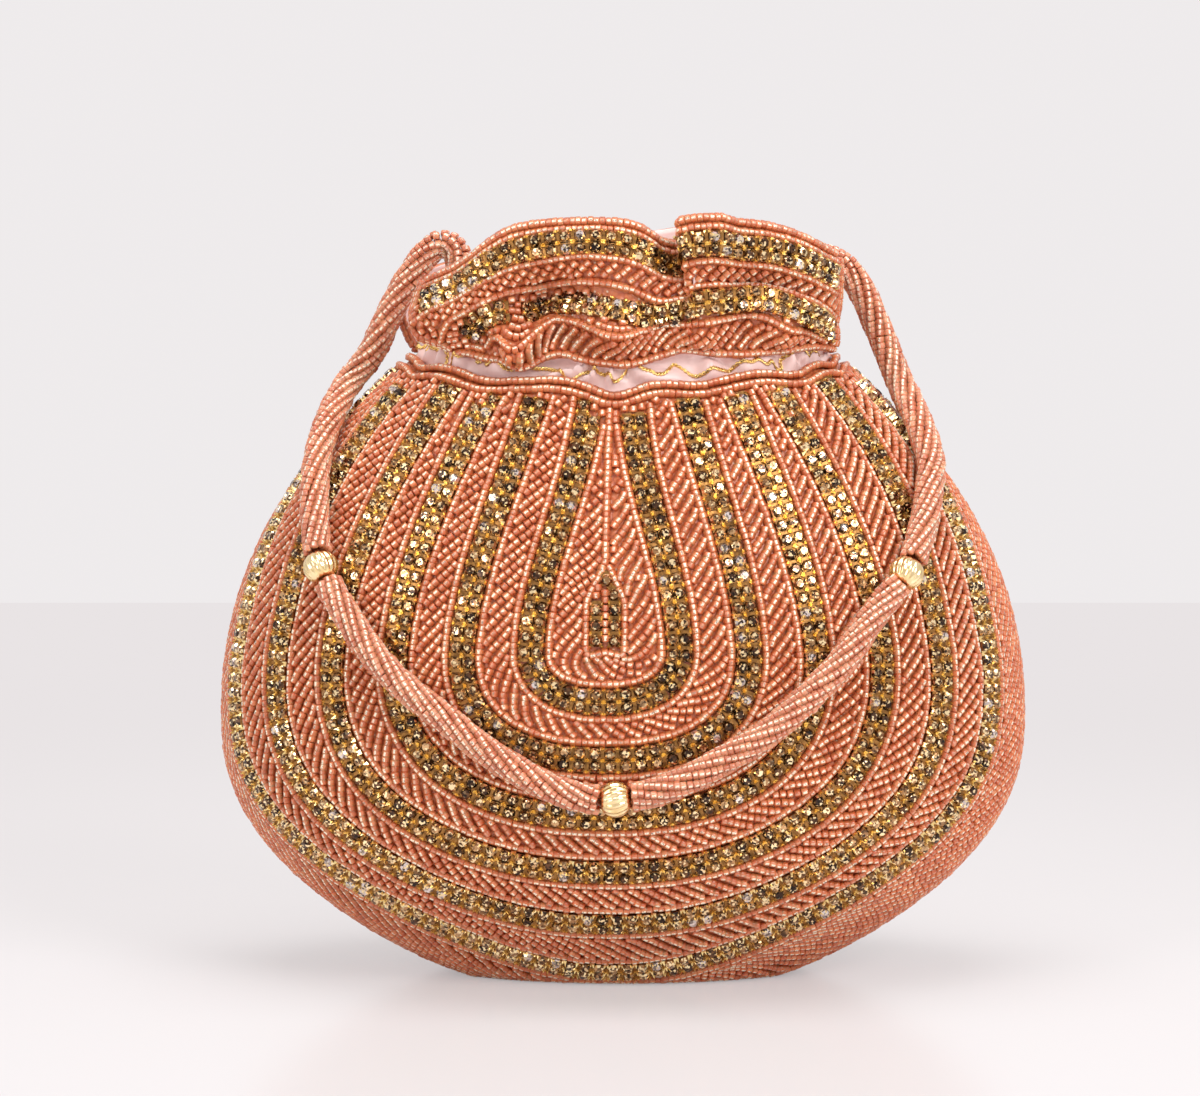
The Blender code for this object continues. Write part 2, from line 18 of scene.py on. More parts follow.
import bpy
import numpy as np
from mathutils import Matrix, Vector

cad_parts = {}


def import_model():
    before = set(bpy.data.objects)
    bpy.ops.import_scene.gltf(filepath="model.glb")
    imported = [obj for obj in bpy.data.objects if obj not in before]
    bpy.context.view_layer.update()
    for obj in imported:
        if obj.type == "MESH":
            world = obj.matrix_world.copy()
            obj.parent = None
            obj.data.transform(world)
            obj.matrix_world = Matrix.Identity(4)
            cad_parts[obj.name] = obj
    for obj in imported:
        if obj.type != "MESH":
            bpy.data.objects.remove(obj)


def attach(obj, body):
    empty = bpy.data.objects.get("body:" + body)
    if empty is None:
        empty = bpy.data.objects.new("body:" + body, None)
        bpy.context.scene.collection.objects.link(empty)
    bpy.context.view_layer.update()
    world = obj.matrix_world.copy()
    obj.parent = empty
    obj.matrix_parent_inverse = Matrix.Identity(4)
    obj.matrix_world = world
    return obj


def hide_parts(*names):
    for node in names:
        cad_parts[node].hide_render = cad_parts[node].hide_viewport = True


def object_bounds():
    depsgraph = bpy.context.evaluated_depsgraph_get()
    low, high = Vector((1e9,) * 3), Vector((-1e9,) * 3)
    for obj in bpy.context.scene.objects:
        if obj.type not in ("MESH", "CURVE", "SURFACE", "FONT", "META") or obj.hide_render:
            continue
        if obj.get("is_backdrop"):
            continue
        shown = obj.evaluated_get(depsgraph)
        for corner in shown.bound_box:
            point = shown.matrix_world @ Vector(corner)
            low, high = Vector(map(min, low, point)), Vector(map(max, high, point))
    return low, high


MM = 0.001
BODY = "root"

Array = np.ndarray
Random = np.random.Generator
Material = bpy.types.Material
Object = bpy.types.Object
Socket = bpy.types.NodeSocket

log = logging.getLogger("potli_bag")


# Choices

class Face(Enum):
    """The two embroidered sides of the bag, each with its name and its angle about Z."""

    FRONT = ("front", 0.0)
    BACK = ("back", math.pi)

    def __init__(self, label: str, angle: float) -> None:
        """Keeps the face's name and angle."""
        self.label, self.angle = label, angle

    def turned(self, spots: Array) -> Array:
        """Places or directions turned about Z from the front to this face."""
        c, s = math.cos(self.angle), math.sin(self.angle)
        return spots @ np.array([[c, s, 0.0], [-s, c, 0.0], [0.0, 0.0, 1.0]])


class BeadDetail(Enum):
    """How finely a seed bead is cut: its side angles and its stations along the hole."""

    FINE = ((-14.0, 14.0, 88.0, 180.0, 272.0), (-0.5, -0.33, 0.33, 0.5))
    PLAIN = ((-14.0, 14.0, 122.0, 238.0), (-0.5, -0.33, 0.33, 0.5))


# Finishes

class NodeTree:
    """Writes nodes and links into an empty node tree."""

    def __init__(self, tree: bpy.types.NodeTree) -> None:
        """Takes a tree and empties it."""
        self.tree = tree
        self.tree.nodes.clear()

    def node(self, kind: str, **settings: object) -> bpy.types.Node:
        """Adds a node.

        Args:
            kind: The node's type name.
            settings: Its properties, by name.

        Returns:
            The node.
        """
        made = self.tree.nodes.new(kind)
        for key, value in settings.items():
            setattr(made, key, value)
        return made

    def link(self, source: Socket, target: Socket) -> None:
        """Joins two sockets."""
        self.tree.links.new(source, target)


class NodeBench(NodeTree):
    """Writes a material's nodes: a Principled shader and what feeds it."""

    def __init__(self, name: str) -> None:
        """Starts a material of that name with an output and a shader.

        Args:
            name: The material's name.
        """
        self.material = bpy.data.materials.new(name)
        self.material.use_nodes = True
        super().__init__(self.material.node_tree)
        self.shader = self.node("ShaderNodeBsdfPrincipled")
        self.output = self.node("ShaderNodeOutputMaterial")
        self.link(self.shader.outputs["BSDF"], self.output.inputs["Surface"])

    def sockets(self, **values: float) -> None:
        """Sets the shader's own sockets, with underscores for the spaces in their names."""
        for key, value in values.items():
            name = key.replace("_", " ").title().replace("Ior", "IOR")
            self.shader.inputs[name].default_value = value

    def feed(self, name: str, source: Socket) -> None:
        """Joins a socket to the shader's socket of that name."""
        self.link(source, self.shader.inputs[name])

    def tone(self) -> Socket:
        """The piece's own `tone` attribute, a number from 0 to 1 for each small part."""
        return self.node("ShaderNodeAttribute", attribute_name="tone").outputs["Fac"]

    def ramp(self, source: Socket, stops: tuple) -> Socket:
        """Adds a colour ramp.

        Args:
            source: The number that drives it.
            stops: Pairs of a place from 0 to 1 and a linear colour.

        Returns:
            The ramp's colour socket.
        """
        made = self.node("ShaderNodeValToRGB")
        elements = made.color_ramp.elements
        while len(elements) < len(stops):
            elements.new(0.5)
        for element, (place, colour) in zip(elements, stops):
            element.position, element.color = place, (*colour, 1.0)
        self.link(source, made.inputs["Fac"])
        return made.outputs["Color"]

    def noise(self, scale: float, detail: float = 2.0, stretch: tuple = (1.0, 1.0, 1.0)) -> Socket:
        """Adds noise on the piece's Object coordinates.

        Args:
            scale: Cells in a metre.
            detail: Octaves.
            stretch: Factors for the coordinates' axes.

        Returns:
            The noise's number.
        """
        where = self.node("ShaderNodeTexCoord")
        mapping = self.node("ShaderNodeMapping")
        mapping.inputs["Scale"].default_value = stretch
        made = self.node("ShaderNodeTexNoise")
        made.inputs["Scale"].default_value = scale
        made.inputs["Detail"].default_value = detail
        self.link(where.outputs["Object"], mapping.inputs["Vector"])
        self.link(mapping.outputs["Vector"], made.inputs["Vector"])
        return made.outputs["Fac"]

    def cells(self, scale: float, output: str) -> Socket:
        """Adds a pattern of cells on the piece's Object coordinates.

        Args:
            scale: Cells in a metre.
            output: Which of the pattern's results is wanted.

        Returns:
            That result's socket.
        """
        made = self.node("ShaderNodeTexVoronoi", feature="F1")
        made.inputs["Scale"].default_value = scale
        self.link(self.node("ShaderNodeTexCoord").outputs["Object"], made.inputs["Vector"])
        return made.outputs[output]

    def mix(self, share: Socket | float, first: Socket | tuple, second: Socket | tuple,
            blend: str = "MIX") -> Socket:
        """Mixes two colours.

        Args:
            share: How much of the second is taken.
            first: The first colour, a socket or a linear colour.
            second: The second, of either kind.
            blend: How they are mixed.

        Returns:
            The mixed colour.
        """
        made = self.node("ShaderNodeMix", data_type="RGBA", blend_type=blend)
        factor, *colours = (made.inputs[place] for place in (0, 6, 7))
        if isinstance(share, float):
            factor.default_value = share
        else:
            self.link(share, factor)
        for value, target in zip((first, second), colours):
            if isinstance(value, tuple):
                target.default_value = (*value, 1.0)
            else:
                self.link(value, target)
        return made.outputs[2]

    def span(self, source: Socket, low: float, high: float) -> Socket:
        """Maps a number from 0 to 1 onto low to high.

        Args:
            source: The number.
            low: What 0 becomes.
            high: What 1 becomes.

        Returns:
            The mapped number.
        """
        made = self.node("ShaderNodeMapRange")
        made.inputs["To Min"].default_value = low
        made.inputs["To Max"].default_value = high
        self.link(source, made.inputs["Value"])
        return made.outputs["Result"]

    def roughen(self, scale: float, roughness: float, least: float, most: float) -> None:
        """Lets the roughness wander by noise of a scale, from least to most times its value."""
        self.feed("Roughness", self.span(self.noise(scale), roughness * least, roughness * most))

    def bump(self, height: Socket, strength: float, distance: float) -> None:
        """Feeds the shader's normal from a height.

        Args:
            height: The height, from 0 to 1.
            strength: The bump's share.
            distance: The relief that a height of 1 stands for.
        """
        made = self.node("ShaderNodeBump")
        made.inputs["Strength"].default_value = strength
        made.inputs["Distance"].default_value = distance
        self.link(height, made.inputs["Height"])
        self.feed("Normal", made.outputs["Normal"])


BLACK, WHITE = (0.0, 0.0, 0.0), (1.0, 1.0, 1.0)


@dataclass(frozen=True)
class BeadGlass:
    """Coral glass of a seed bead, in a run of slightly unlike tones."""

    name: str = "coral_glass"
    dark: tuple = (0.51, 0.128, 0.048)
    middle: tuple = (0.61, 0.175, 0.064)
    pale: tuple = (0.69, 0.245, 0.104)
    roughness: float = 0.30
    clouds_per_metre: float = 900.0
    cloud_span: tuple = (0.86, 1.12)
    depth: float = 1.2 * MM
    depth_by_colour: tuple = (1.0, 0.35, 0.2)

    def material(self) -> Material:
        """Makes the material.

        Returns:
            Glass whose tone sets its depth of colour and whose noise gives it faint clouds.
        """
        bench = NodeBench(self.name)
        base = bench.ramp(bench.tone(), ((0.0, self.dark), (0.5, self.middle), (1.0, self.pale)))
        clouds = bench.span(bench.noise(self.clouds_per_metre), *self.cloud_span)
        bench.feed("Base Color", bench.mix(1.0, base, clouds, "MULTIPLY"))
        bench.sockets(roughness=self.roughness, coat_weight=0.2, coat_roughness=0.08,
                      subsurface_weight=0.6, subsurface_scale=self.depth)
        bench.shader.inputs["Subsurface Radius"].default_value = self.depth_by_colour
        return bench.material


@dataclass(frozen=True)
class SilverCoreAndHighlight:
    """The silver lining of a bead as it shows through the glass over the hole, painted pale on the
    bead's outward face: partly the lining's own silver, partly a painted highlight.
    """

    name: str = "silver_lining_and_highlight"
    dull: tuple = (0.61, 0.25, 0.14)
    bright: tuple = (0.88, 0.77, 0.59)
    shadow: tuple = (0.30, 0.20, 0.15)
    least: float = 0.14
    full: float = 0.55
    roughness: float = 0.30
    metallic: float = 0.20
    flecks_per_metre: float = 2300.0
    grain_per_metre: float = 2500.0

    def material(self) -> Material:
        """Makes the material.

        Returns:
            A pale half-metal whose brightness follows the bead's tone, with dark flecks of
            the thread in the hole. Its paleness is partly the lining's own silver and partly
            a painted highlight.
        """
        bench = NodeBench(self.name)
        base = bench.ramp(bench.tone(), ((self.least, self.dull), (self.full, self.bright),
                                         (1.0, self.bright)))
        flecks = bench.ramp(bench.noise(self.flecks_per_metre, 1.0), ((0.36, BLACK), (0.44, WHITE)))
        # Painted highlight: the pale silver stands partly for the lamps' reflection in the lining.
        bench.feed("Base Color", bench.mix(flecks, self.shadow, base))
        bench.roughen(self.grain_per_metre, self.roughness, 0.7, 1.4)
        bench.sockets(metallic=self.metallic, coat_weight=0.3, coat_roughness=0.06)
        return bench.material


@dataclass(frozen=True)
class CutStone:
    """Foiled rhinestones, from smoke through champagne to clear by their tone."""

    name: str = "foiled_stone"
    stops: tuple = (
        (0.00, (0.050, 0.022, 0.010)),
        (0.22, (0.17, 0.080, 0.034)),
        (0.50, (0.44, 0.245, 0.110)),
        (0.72, (0.66, 0.43, 0.23)),
        (0.80, (0.64, 0.56, 0.57)),
        (1.00, (0.86, 0.82, 0.86)),
    )
    shades: tuple = (
        (0.10, (0.07, 0.05, 0.04)),
        (0.45, (0.46, 0.38, 0.31)),
        (0.75, (1.0, 0.93, 0.84)),
    )
    glint: tuple = (0.96, 0.74, 0.42)
    roughness: float = 0.12
    facets_per_metre: float = 1900.0
    grain_per_metre: float = 3000.0

    def material(self) -> Material:
        """Makes the material.

        Returns:
            A metal-backed glass whose tone picks its colour and whose small cells shade or
            light its facets.
        """
        bench = NodeBench(self.name)
        facets = bench.cells(self.facets_per_metre, "Color")
        split = bench.node("ShaderNodeSeparateColor")
        bench.link(facets, split.inputs["Color"])
        shade = bench.ramp(split.outputs["Red"], self.shades)
        colour = bench.mix(1.0, bench.ramp(bench.tone(), self.stops), shade, "MULTIPLY")
        lit = bench.ramp(split.outputs["Green"], ((0.70, BLACK), (0.78, WHITE)))
        bench.feed("Base Color", bench.mix(lit, colour, self.glint))
        bench.roughen(self.grain_per_metre, self.roughness, 0.5, 1.6)
        bench.sockets(metallic=0.85, coat_weight=0.35, coat_roughness=0.05)
        return bench.material


@dataclass(frozen=True)
class Gilt:
    """Polished gold-coloured metal, with darker patches of painted reflection."""

    name: str = "gilt_cup"
    colour: tuple = (0.37, 0.180, 0.055)
    darker_reflection: tuple = (0.13, 0.062, 0.022)
    roughness: float = 0.36
    clouds_per_metre: float = 900.0
    relief_per_metre: float = 1500.0
    relief: float = 0.9
    relief_height: float = 0.1 * MM
    grain_per_metre: float = 2600.0

    def material(self) -> Material:
        """Makes the material.

        Returns:
            Metal whose colour darkens in patches, a painted reflection of darker surroundings,
            and whose roughness wanders.
        """
        bench = NodeBench(self.name)
        clouds = bench.noise(self.clouds_per_metre, 3.0)
        # Painted reflection: noise darkens the gold in patches.
        bench.feed("Base Color", bench.ramp(clouds, ((0.30, self.darker_reflection), (0.62, self.colour))))
        bench.roughen(self.grain_per_metre, self.roughness, 0.6, 1.5)
        bench.bump(bench.noise(self.relief_per_metre, 1.0), self.relief, self.relief_height)
        bench.sockets(metallic=1.0)
        return bench.material


@dataclass(frozen=True)
class BeadBacking:
    """Cloth close-set with seed beads between the strands, painted as small cells: a painted
    highlight in each middle and painted shade at each rim.
    """

    name: str = "coral_backing"
    # pale is a painted highlight in each cell's middle, crease painted shade at its rim.
    pale: tuple = (0.80, 0.58, 0.42)
    coral: tuple = (0.61, 0.170, 0.062)
    crease: tuple = (0.48, 0.110, 0.042)
    beads_per_metre: float = 640.0
    relief_height: float = 0.6 * MM

    def material(self) -> Material:
        """Makes the material.

        Returns:
            Cells in which the distance from a cell's middle lowers the cloth and colours it,
            from a painted highlight in the middle to painted shade at the rim.
        """
        bench = NodeBench(self.name)
        far = bench.cells(self.beads_per_metre, "Distance")
        bench.feed("Base Color", bench.ramp(far, ((0.12, self.pale), (0.24, self.coral),
                                                  (0.50, self.coral), (0.72, self.crease))))
        bench.bump(bench.span(far, 1.0, 0.0), 0.8, self.relief_height)
        bench.sockets(roughness=0.35, coat_weight=0.2)
        return bench.material


@dataclass(frozen=True)
class Satin:
    """Polyester satin: a soft sheen along the folds and a fine diagonal weave."""

    name: str = "pink_satin"
    colour: tuple = (0.87, 0.65, 0.61)
    shade: tuple = (0.79, 0.53, 0.49)
    roughness: float = 0.36
    clouds_per_metre: float = 120.0
    weave_per_metre: float = 2600.0
    weave_stretch: tuple = (1.0, 1.0, 0.25)
    weave_height: float = 0.15 * MM

    def material(self) -> Material:
        """Makes the material.

        Returns:
            Satin whose clouds paint shade into its colour, with woven bump and sheen.
        """
        bench = NodeBench(self.name)
        clouds = bench.noise(self.clouds_per_metre, 3.0)
        # Painted shade: noise clouds darken the satin towards its shade colour, standing in for the
        # shading of its folds.
        bench.feed("Base Color", bench.ramp(clouds, ((0.25, self.shade), (0.70, self.colour))))
        weave = bench.noise(self.weave_per_metre, 1.0, self.weave_stretch)
        bench.bump(weave, 0.22, self.weave_height)
        bench.sockets(roughness=self.roughness, sheen_weight=0.35, sheen_roughness=0.4)
        return bench.material


# Mesh making

def unit(vectors: Array) -> Array:
    """Vectors scaled to a length of one."""
    return vectors / np.maximum(np.linalg.norm(vectors, axis=-1, keepdims=True), 1e-12)


def smoothstep(share: Array) -> Array:
    """A share from 0 to 1 eased at both ends, 3 s squared less 2 s cubed."""
    share = np.clip(share, 0.0, 1.0)
    return share ** 2 * (3 - 2 * share)


def length_along(spots: Array) -> Array:
    """The length along a path at each of its places."""
    steps = np.linalg.norm(np.diff(spots, axis=0), axis=1)
    return np.concatenate([[0.0], steps.cumsum()])


def even_rows(spots: Array, every: float) -> Array:
    """Even stations along a path.

    Args:
        spots: The path's places, close together.
        every: The wished distance between stations.

    Returns:
        The stations as fractional row numbers of spots.
    """
    length = length_along(spots)
    count = max(1, int(length[-1] / every))
    even = (np.arange(count) + 0.5) * length[-1] / count
    return np.interp(even, length, np.arange(len(spots)))


def read_at(values: Array, rows: Array) -> Array:
    """Reads values between their rows.

    Args:
        values: One row for each station.
        rows: Fractional row numbers.

    Returns:
        The values at those rows, blended from the two nearest.
    """
    low = np.clip(np.floor(rows).astype(int), 0, len(values) - 2)
    share = (rows - low).reshape(-1, *([1] * (values.ndim - 1)))
    return values[low] * (1 - share) + values[low + 1] * share


def catmull_rom(points: Array, steps: int) -> Array:
    """A smooth curve through points: each span blends its four nearest by cubic weights.

    Args:
        points: The points.
        steps: Places made from each point to the next.

    Returns:
        The curve's places.
    """
    ends = np.concatenate([[2 * points[0] - points[1]], points, [2 * points[-1] - points[-2]]])
    before, start, end, after = (ends[k:len(ends) - 3 + k, None] for k in range(4))
    way = (np.arange(steps) / steps)[None, :, None]
    fine = 0.5 * (2 * start + (end - before) * way
                  + (2 * before - 5 * start + 4 * end - after) * way ** 2
                  + (3 * start - before - 3 * end + after) * way ** 3)
    return np.concatenate([fine.reshape(-1, 3), points[-1:]])


@dataclass
class Frames:
    """Where many copies of a small shape go: places, directions, sizes and tones."""

    place: Array
    along: Array
    out: Array
    size: Array
    tone: Array

    @classmethod
    def joined(cls, parts: list["Frames"]) -> "Frames":
        """All the frames of several sets in one."""
        return cls(*(np.concatenate([getattr(part, key) for part in parts])
                     for key in ("place", "along", "out", "size", "tone")))

    def kept(self, keep: Array) -> "Frames":
        """Only the frames that a mask keeps."""
        return Frames(self.place[keep], self.along[keep], self.out[keep], self.size[keep],
                      self.tone[keep])

    def turned(self, face: Face) -> "Frames":
        """The frames moved from the front to a face."""
        return Frames(face.turned(self.place), face.turned(self.along), face.turned(self.out),
                      self.size, self.tone)

    def clear_of(self, placed: Array, room: float) -> "Frames":
        """Only the frames whose distance to every one of some places is more than room."""
        near = ((self.place[:, None] - placed[None]) ** 2).sum(-1).min(1)
        return self.kept(near > room ** 2)

    def axes(self) -> Array:
        """Squares each frame's directions.

        Returns:
            Each frame's axes as rows: along, across and out, all square to each other.
        """
        along = unit(self.along)
        across = unit(np.cross(self.out, along))
        return np.stack([along, across, np.cross(along, across)], 1)


def fill_rows(rows: Iterable[Frames], beads: Array, cups: Array, bead_room: float,
              cup_room: float) -> Frames:
    """Lays rows one after another wherever what is already there leaves room.

    Args:
        rows: Each row's frames, made as they are laid.
        beads: Places of the beads that are there.
        cups: Places of the cups.
        bead_room: Least distance from a bead.
        cup_room: Least distance from a cup.

    Returns:
        The frames that found room.
    """
    parts, taken = [], beads
    for row in rows:
        parts.append(row.clear_of(taken, bead_room).clear_of(cups, cup_room))
        taken = np.concatenate([taken, parts[-1].place])
    return Frames.joined(parts)


def mesh_object(name: str, verts: Array, loops: Array, starts: Array, materials: list,
                finishes: Array | int = 0, smooth: bool = True,
                tone: Array | None = None) -> Object:
    """Puts whole arrays into a mesh and its object, which rides on the bag.

    Args:
        name: The object's and the mesh's name.
        verts: Places, one row each.
        loops: The faces' corners, one after another.
        starts: Where each face starts in loops.
        materials: The finishes.
        finishes: Each face's place in materials, or one for all.
        smooth: Whether faces are shaded smooth.
        tone: A number for each place, kept as the `tone` attribute.

    Returns:
        The object, at the origin.
    """
    mesh = bpy.data.meshes.new(name)
    mesh.vertices.add(len(verts))
    mesh.vertices.foreach_set("co", np.ascontiguousarray(verts, np.float32).ravel())
    mesh.loops.add(len(loops))
    mesh.loops.foreach_set("vertex_index", loops.astype(np.int32))
    mesh.polygons.add(len(starts))
    mesh.polygons.foreach_set("loop_start", starts.astype(np.int32))
    for material in materials:
        mesh.materials.append(material)
    numbers = np.broadcast_to(finishes, len(starts)).astype(np.int32)
    mesh.polygons.foreach_set("material_index", numbers)
    mesh.polygons.foreach_set("use_smooth", np.full(len(starts), smooth))
    mesh.update(calc_edges=True)
    if tone is not None:
        layer = mesh.attributes.new("tone", "FLOAT", "POINT")
        layer.data.foreach_set("value", tone.astype(np.float32))
    made = bpy.data.objects.new(name, mesh)
    bpy.context.scene.collection.objects.link(made)
    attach(made, BODY)
    log.info("%s: %d faces", name, len(starts))
    return made


def grid_loops(rows: int, columns: int, wrap: bool, start: int = 0, flip: bool = False) -> Array:
    """Quads of a grid of places counted row by row.

    Args:
        rows: Rows of places.
        columns: Places in a row.
        wrap: Whether the last column meets the first.
        start: The number of the grid's first place.
        flip: Whether the quads face the other way.

    Returns:
        One row of four corners for each quad.
    """
    across = np.arange(columns if wrap else columns - 1)
    row, column = np.meshgrid(np.arange(rows - 1), across, indexing="ij")
    beside = (column + 1) % columns
    quads = np.stack([row * columns + column, row * columns + beside,
                      (row + 1) * columns + beside, (row + 1) * columns + column], -1)
    quads = quads.reshape(-1, 4)
    return (quads[:, ::-1] if flip else quads) + start


def fan_loops(middle: int, start: int, count: int, up: bool) -> Array:
    """Triangles that close a ring of places by a place at its middle.

    Args:
        middle: The middle place's number.
        start: The number of the ring's first place.
        count: Places in the ring.
        up: Whether the corners run the same way as the ring.

    Returns:
        One row of three corners for each triangle.
    """
    side = np.arange(count)
    beside = (side + 1) % count
    first, second = (side, beside) if up else (beside, side)
    return np.stack([np.full(count, middle), start + first, start + second], -1)


def capped_rings(rows: int, sides: int, base: int = 0) -> tuple[Array, Array]:
    """Faces of stacked rings, whose places are followed by a middle place for each end.

    Args:
        rows: How many rings.
        sides: Places in a ring.
        base: The number of the first ring's first place.

    Returns:
        The faces' corners one after another, and where each face starts in them.
    """
    quads = grid_loops(rows, sides, True, base)
    after = base + rows * sides
    fans = np.concatenate([fan_loops(after, base, sides, False),
                           fan_loops(after + 1, after - sides, sides, True)])
    starts = [np.arange(len(quads)) * 4, quads.size + np.arange(len(fans)) * 3]
    return np.concatenate([quads.ravel(), fans.ravel()]), np.concatenate(starts)


def cloth_piece(name: str, outer: Array, inner: Array, materials: list,
                wrap: bool = False, floor: bool = False) -> Object:
    """A sheet of cloth between two grids of like shape, closed along its free edges.

    Args:
        name: The object's name.
        outer: The outside, [row, column, xyz], rows going up and columns to the right.
        inner: The inside, of the same shape.
        materials: The outside's finish and, where it differs, the inside's.
        wrap: Whether it runs round and meets itself.
        floor: Whether the first row of each skin is closed by a fan at its middle.

    Returns:
        The object.
    """
    rows, columns = outer.shape[:2]
    count = rows * columns
    verts = np.concatenate([outer.reshape(-1, 3), inner.reshape(-1, 3)])
    quads = [grid_loops(rows, columns, wrap), grid_loops(rows, columns, wrap, count, True)]
    column = np.arange(columns if wrap else columns - 1)
    beside = (column + 1) % columns
    top, top_beside = (rows - 1) * columns + column, (rows - 1) * columns + beside
    quads.append(np.stack([top, top_beside, count + top_beside, count + top], -1))
    if not floor:
        quads.append(np.stack([beside, column, count + column, count + beside], -1))
    if not wrap:
        left = np.arange(rows - 1) * columns
        right, above = left + columns - 1, left + columns
        quads.append(np.stack([left, above, count + above, count + left], -1))
        above = right + columns
        quads.append(np.stack([above, right, count + right, count + above], -1))
    loops = np.concatenate(quads).ravel()
    starts = np.arange(len(loops) // 4) * 4
    if floor:
        for ring, start, flip in ((outer[0], 0, False), (inner[0], count, True)):
            fan = fan_loops(len(verts), start, columns, False)
            verts = np.concatenate([verts, ring.mean(0)[None]])
            starts = np.concatenate([starts, len(loops) + np.arange(len(fan)) * 3])
            loops = np.concatenate([loops, (fan[:, ::-1] if flip else fan).ravel()])
    skin = len(quads[0])
    finishes = np.zeros(len(starts), int)
    finishes[skin:2 * skin] = len(materials) - 1
    return mesh_object(name, verts, loops, starts, materials, finishes)


def tube_rings(spots: Array, radius: float, sides: int) -> Array:
    """Rings of a round tube: places on a circle square to the path at each of its places.

    Args:
        spots: The path.
        radius: The tube's radius.
        sides: Places in a ring.

    Returns:
        The rings' places, [ring, side, xyz].
    """
    ahead = unit(np.gradient(spots, axis=0))
    upright, sideways = np.array([[0.0, 0.0, 1.0]]), np.array([[1.0, 0.0, 0.0]])
    guide = np.where(np.abs(ahead[:, 2:3]) > 0.9, sideways, upright)
    across = unit(np.cross(guide, ahead))
    up = np.cross(ahead, across)
    angle = (np.arange(sides) * 2 * math.pi / sides)[None, :, None]
    out = np.cos(angle) * across[:, None] + np.sin(angle) * up[:, None]
    return spots[:, None] + out * radius


def tube_piece(name: str, paths: list, radius: float, sides: int, material: Material) -> Object:
    """Closed round tubes along several paths, as one object.

    Args:
        name: The object's name.
        paths: Each tube's places along its middle.
        radius: The tubes' radius.
        sides: Places in a ring.
        material: The finish.

    Returns:
        The object.
    """
    verts, loops, starts = [], [], []
    for spots in paths:
        base, begin = (sum(len(part) for part in parts) for parts in (verts, loops))
        corners, firsts = capped_rings(len(spots), sides, base)
        verts += [tube_rings(spots, radius, sides).reshape(-1, 3), spots[:1], spots[-1:]]
        loops.append(corners)
        starts.append(begin + firsts)
    return mesh_object(name, *(np.concatenate(parts) for parts in (verts, loops, starts)),
                       [material])


@dataclass
class Stamp:
    """A small closed shape in its own axes: X along, Z out, with a finish for each face."""

    verts: Array
    faces: list
    finishes: list

    @classmethod
    def of_bodies(cls, bodies: list) -> "Stamp":
        """Joins several closed bodies into one shape.

        Args:
            bodies: Each body's places, its faces and the number of its finish.

        Returns:
            The shape.
        """
        faces, finishes, base = [], [], 0
        for spots, shape, finish in bodies:
            faces += [tuple(base + corner for corner in face) for face in shape]
            finishes += [finish] * len(shape)
            base += len(spots)
        return cls(np.concatenate([body[0] for body in bodies]), faces, finishes)

    def piece(self, name: str, frames: Frames, materials: list, smooth: bool) -> Object:
        """One object that holds a copy of the shape at every frame.

        Args:
            name: The object's name.
            frames: Where the copies go.
            materials: The finishes that the shape's faces count into.
            smooth: Whether the faces are shaded smooth.

        Returns:
            The object, with each copy's tone in its `tone` attribute.
        """
        count, corners = len(frames.place), len(self.verts)
        local = self.verts[None] * frames.size[:, None]
        verts = np.einsum("nvk,nkx->nvx", local, frames.axes()) + frames.place[:, None]
        base = np.concatenate([np.array(face) for face in self.faces])
        loops = (base[None] + np.arange(count)[:, None] * corners).ravel()
        totals = np.array([len(face) for face in self.faces])
        starts = np.concatenate([[0], np.tile(totals, count).cumsum()[:-1]])
        return mesh_object(name, verts.reshape(-1, 3), loops, starts, materials,
                           np.tile(self.finishes, count), smooth,
                           tone=np.repeat(frames.tone, corners))


def prism_faces(sides: int) -> list:
    """Faces of two stacked rings with both ends closed."""
    walls = [tuple(face) for face in grid_loops(2, sides, True)]
    return walls + [tuple(range(sides))[::-1], tuple(range(sides, 2 * sides))]


# The pouch's form

